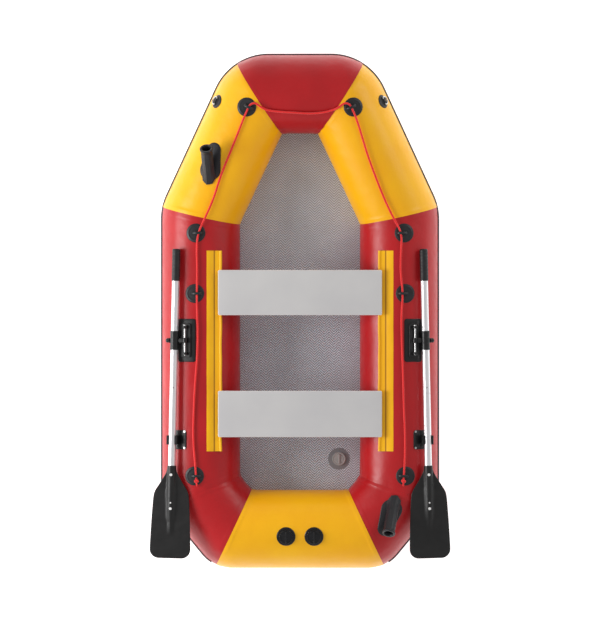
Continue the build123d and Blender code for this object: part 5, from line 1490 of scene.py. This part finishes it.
neck_high = float((clip_at - neck_origin) @ spoke) - mid_radius
neck = block(neck_origin, neck_axes, 0.013, 0.02, 0.002, neck_high, 0.004, 0.0012)
clip_foot = patch_shape(SIDE, -(SIDE_X + CLIP_OUT), CLIP_Y, pad(0.043, 0.042))
both_sides("oar_clip_moulding", [u_shape, neck, clip_foot], NYLON, "hull", "nylon", ["oar_clips"])
print("clip jaws at", clip_at.round(4))

# %% [markdown]
# ## Parts kept from the frame
# Screws, pins, clamps, springs and what lies inside the hull already have their true shape, so they keep their
# own meshes and take the finish of the material they're made of.

# %% Frame parts
YARN = braided_rope()
YARN.name = "white_polyester_yarn"
for mixer in (n for n in YARN.node_tree.nodes if n.bl_idname == "ShaderNodeMix"):
    mixer.inputs[6].default_value, mixer.inputs[7].default_value = linear("b9b8b2"), linear("e6e5e0")
FINISH = {
    "hull_red": RED_PVC, "hull_yellow": YELLOW_PVC, "inner_fabric": LINING, "strake": STRAKE_RUBBER,
    "deck_grey": DECK_PVC, "yarn": YARN, "track_yellow": TRACK_PVC, "seat_board": SEAT, "nylon": NYLON,
    "steel": STEEL, "moulded_rubber": BLACK_RUBBER, "rope_red": BRAID, "valve_grey": VALVE_GREY,
    "valve_black": VALVE_PLASTIC, "grip_rubber": GRIP_RUBBER, "oar_aluminium": ALUMINIUM,
    "blade_plastic": BLADE_PP,
}
slot_of = {part["node"]: part["material_slot"] for part in frame["record"]["subparts"]}
for name, part in frame["nodes"].items():
    for place_here in part.material_slots:
        place_here.link = "OBJECT"
        place_here.material = FINISH[slot_of[name]]
print("frame parts finished:", len(slot_of))

# %% [markdown]
# ## Floor, light and camera
# The boat lies on a plain pale floor. A bright even surround fills the shadows, a large soft light stands off
# the port side, and a weaker one off the starboard bow. The camera hangs high above the middle of the boat and
# looks straight down through a long lens, so the sides don't splay.

# %% Floor
floor_mesh = bpy.data.meshes.new("floor")
FLOOR_HALF = 9.0
floor_corners = [(x * FLOOR_HALF, y * FLOOR_HALF, 0) for x, y in ((-1, -1), (1, -1), (1, 1), (-1, 1))]
floor_mesh.from_pydata(floor_corners, [], [(0, 1, 2, 3)])
floor = bpy.data.objects.new("floor", floor_mesh)
bpy.context.scene.collection.objects.link(floor)
floor_paint, _, _ = new_finish("white_floor_paint", Base_Color=linear("fafafa"), Roughness=0.9,
                               Emission_Color=linear("ffffff"), Emission_Strength=0.8)
floor_mesh.materials.append(floor_paint)


AIM, KEY_AT, FILL_AT = (0, 0, 0.2), (-4.2, -0.3, 2.3), (3.8, 2.2, 2.6)


def soft_light(name, location, size, power, tint):
    """A square area light that faces the middle of the boat."""
    lamp = bpy.data.lights.new(name, "AREA")
    lamp.size, lamp.energy, lamp.color = size, power, linear(tint)[:3]
    made = bpy.data.objects.new(name, lamp)
    made.location = location
    made.rotation_euler = (Vector(AIM) - Vector(location)).to_track_quat("-Z", "Y").to_euler()
    bpy.context.scene.collection.objects.link(made)


soft_light("key", KEY_AT, 2.0, 150.0, "ffffff")
soft_light("fill", FILL_AT, 1.8, 35.0, "fffdfa")
world = bpy.data.worlds.new("studio")
bpy.context.scene.world = world
world.use_nodes = True
ZENITH, HORIZON = 0.5, 0.8
sky = world.node_tree
ray = add_node(sky, "TexCoord").outputs["Generated"]
up_share = add_node(sky, "SeparateXYZ", {0: ray}).outputs[2]
level = {"Value": up_share, "From Min": 0.1, "From Max": 0.75, "To Min": HORIZON, "To Max": ZENITH}
glow = add_node(sky, "MapRange", level, interpolation_type="SMOOTHSTEP").outputs["Result"]
sky.links.new(glow, sky.nodes["Background"].inputs["Strength"])
sky.nodes["Background"].inputs["Color"].default_value = (1.0, 1.0, 1.0, 1.0)

# %% Camera
CAMERA_HIGH, CAMERA_Y, VIEW_TALL, EYE_LEVEL, SENSOR = 14.0, -0.0044, 2.780, 0.3, 24.0
camera = bpy.data.objects.new("camera", bpy.data.cameras.new("camera"))
bpy.context.scene.collection.objects.link(camera)
camera.data.sensor_fit = "VERTICAL"
camera.data.sensor_height = SENSOR
camera.data.lens = SENSOR * (CAMERA_HIGH - EYE_LEVEL) / VIEW_TALL
camera.location = (0, CAMERA_Y, CAMERA_HIGH)
bpy.context.scene.camera = camera
bpy.context.scene.view_settings.view_transform = "Standard"
print("lens", round(camera.data.lens, 1), "mm")
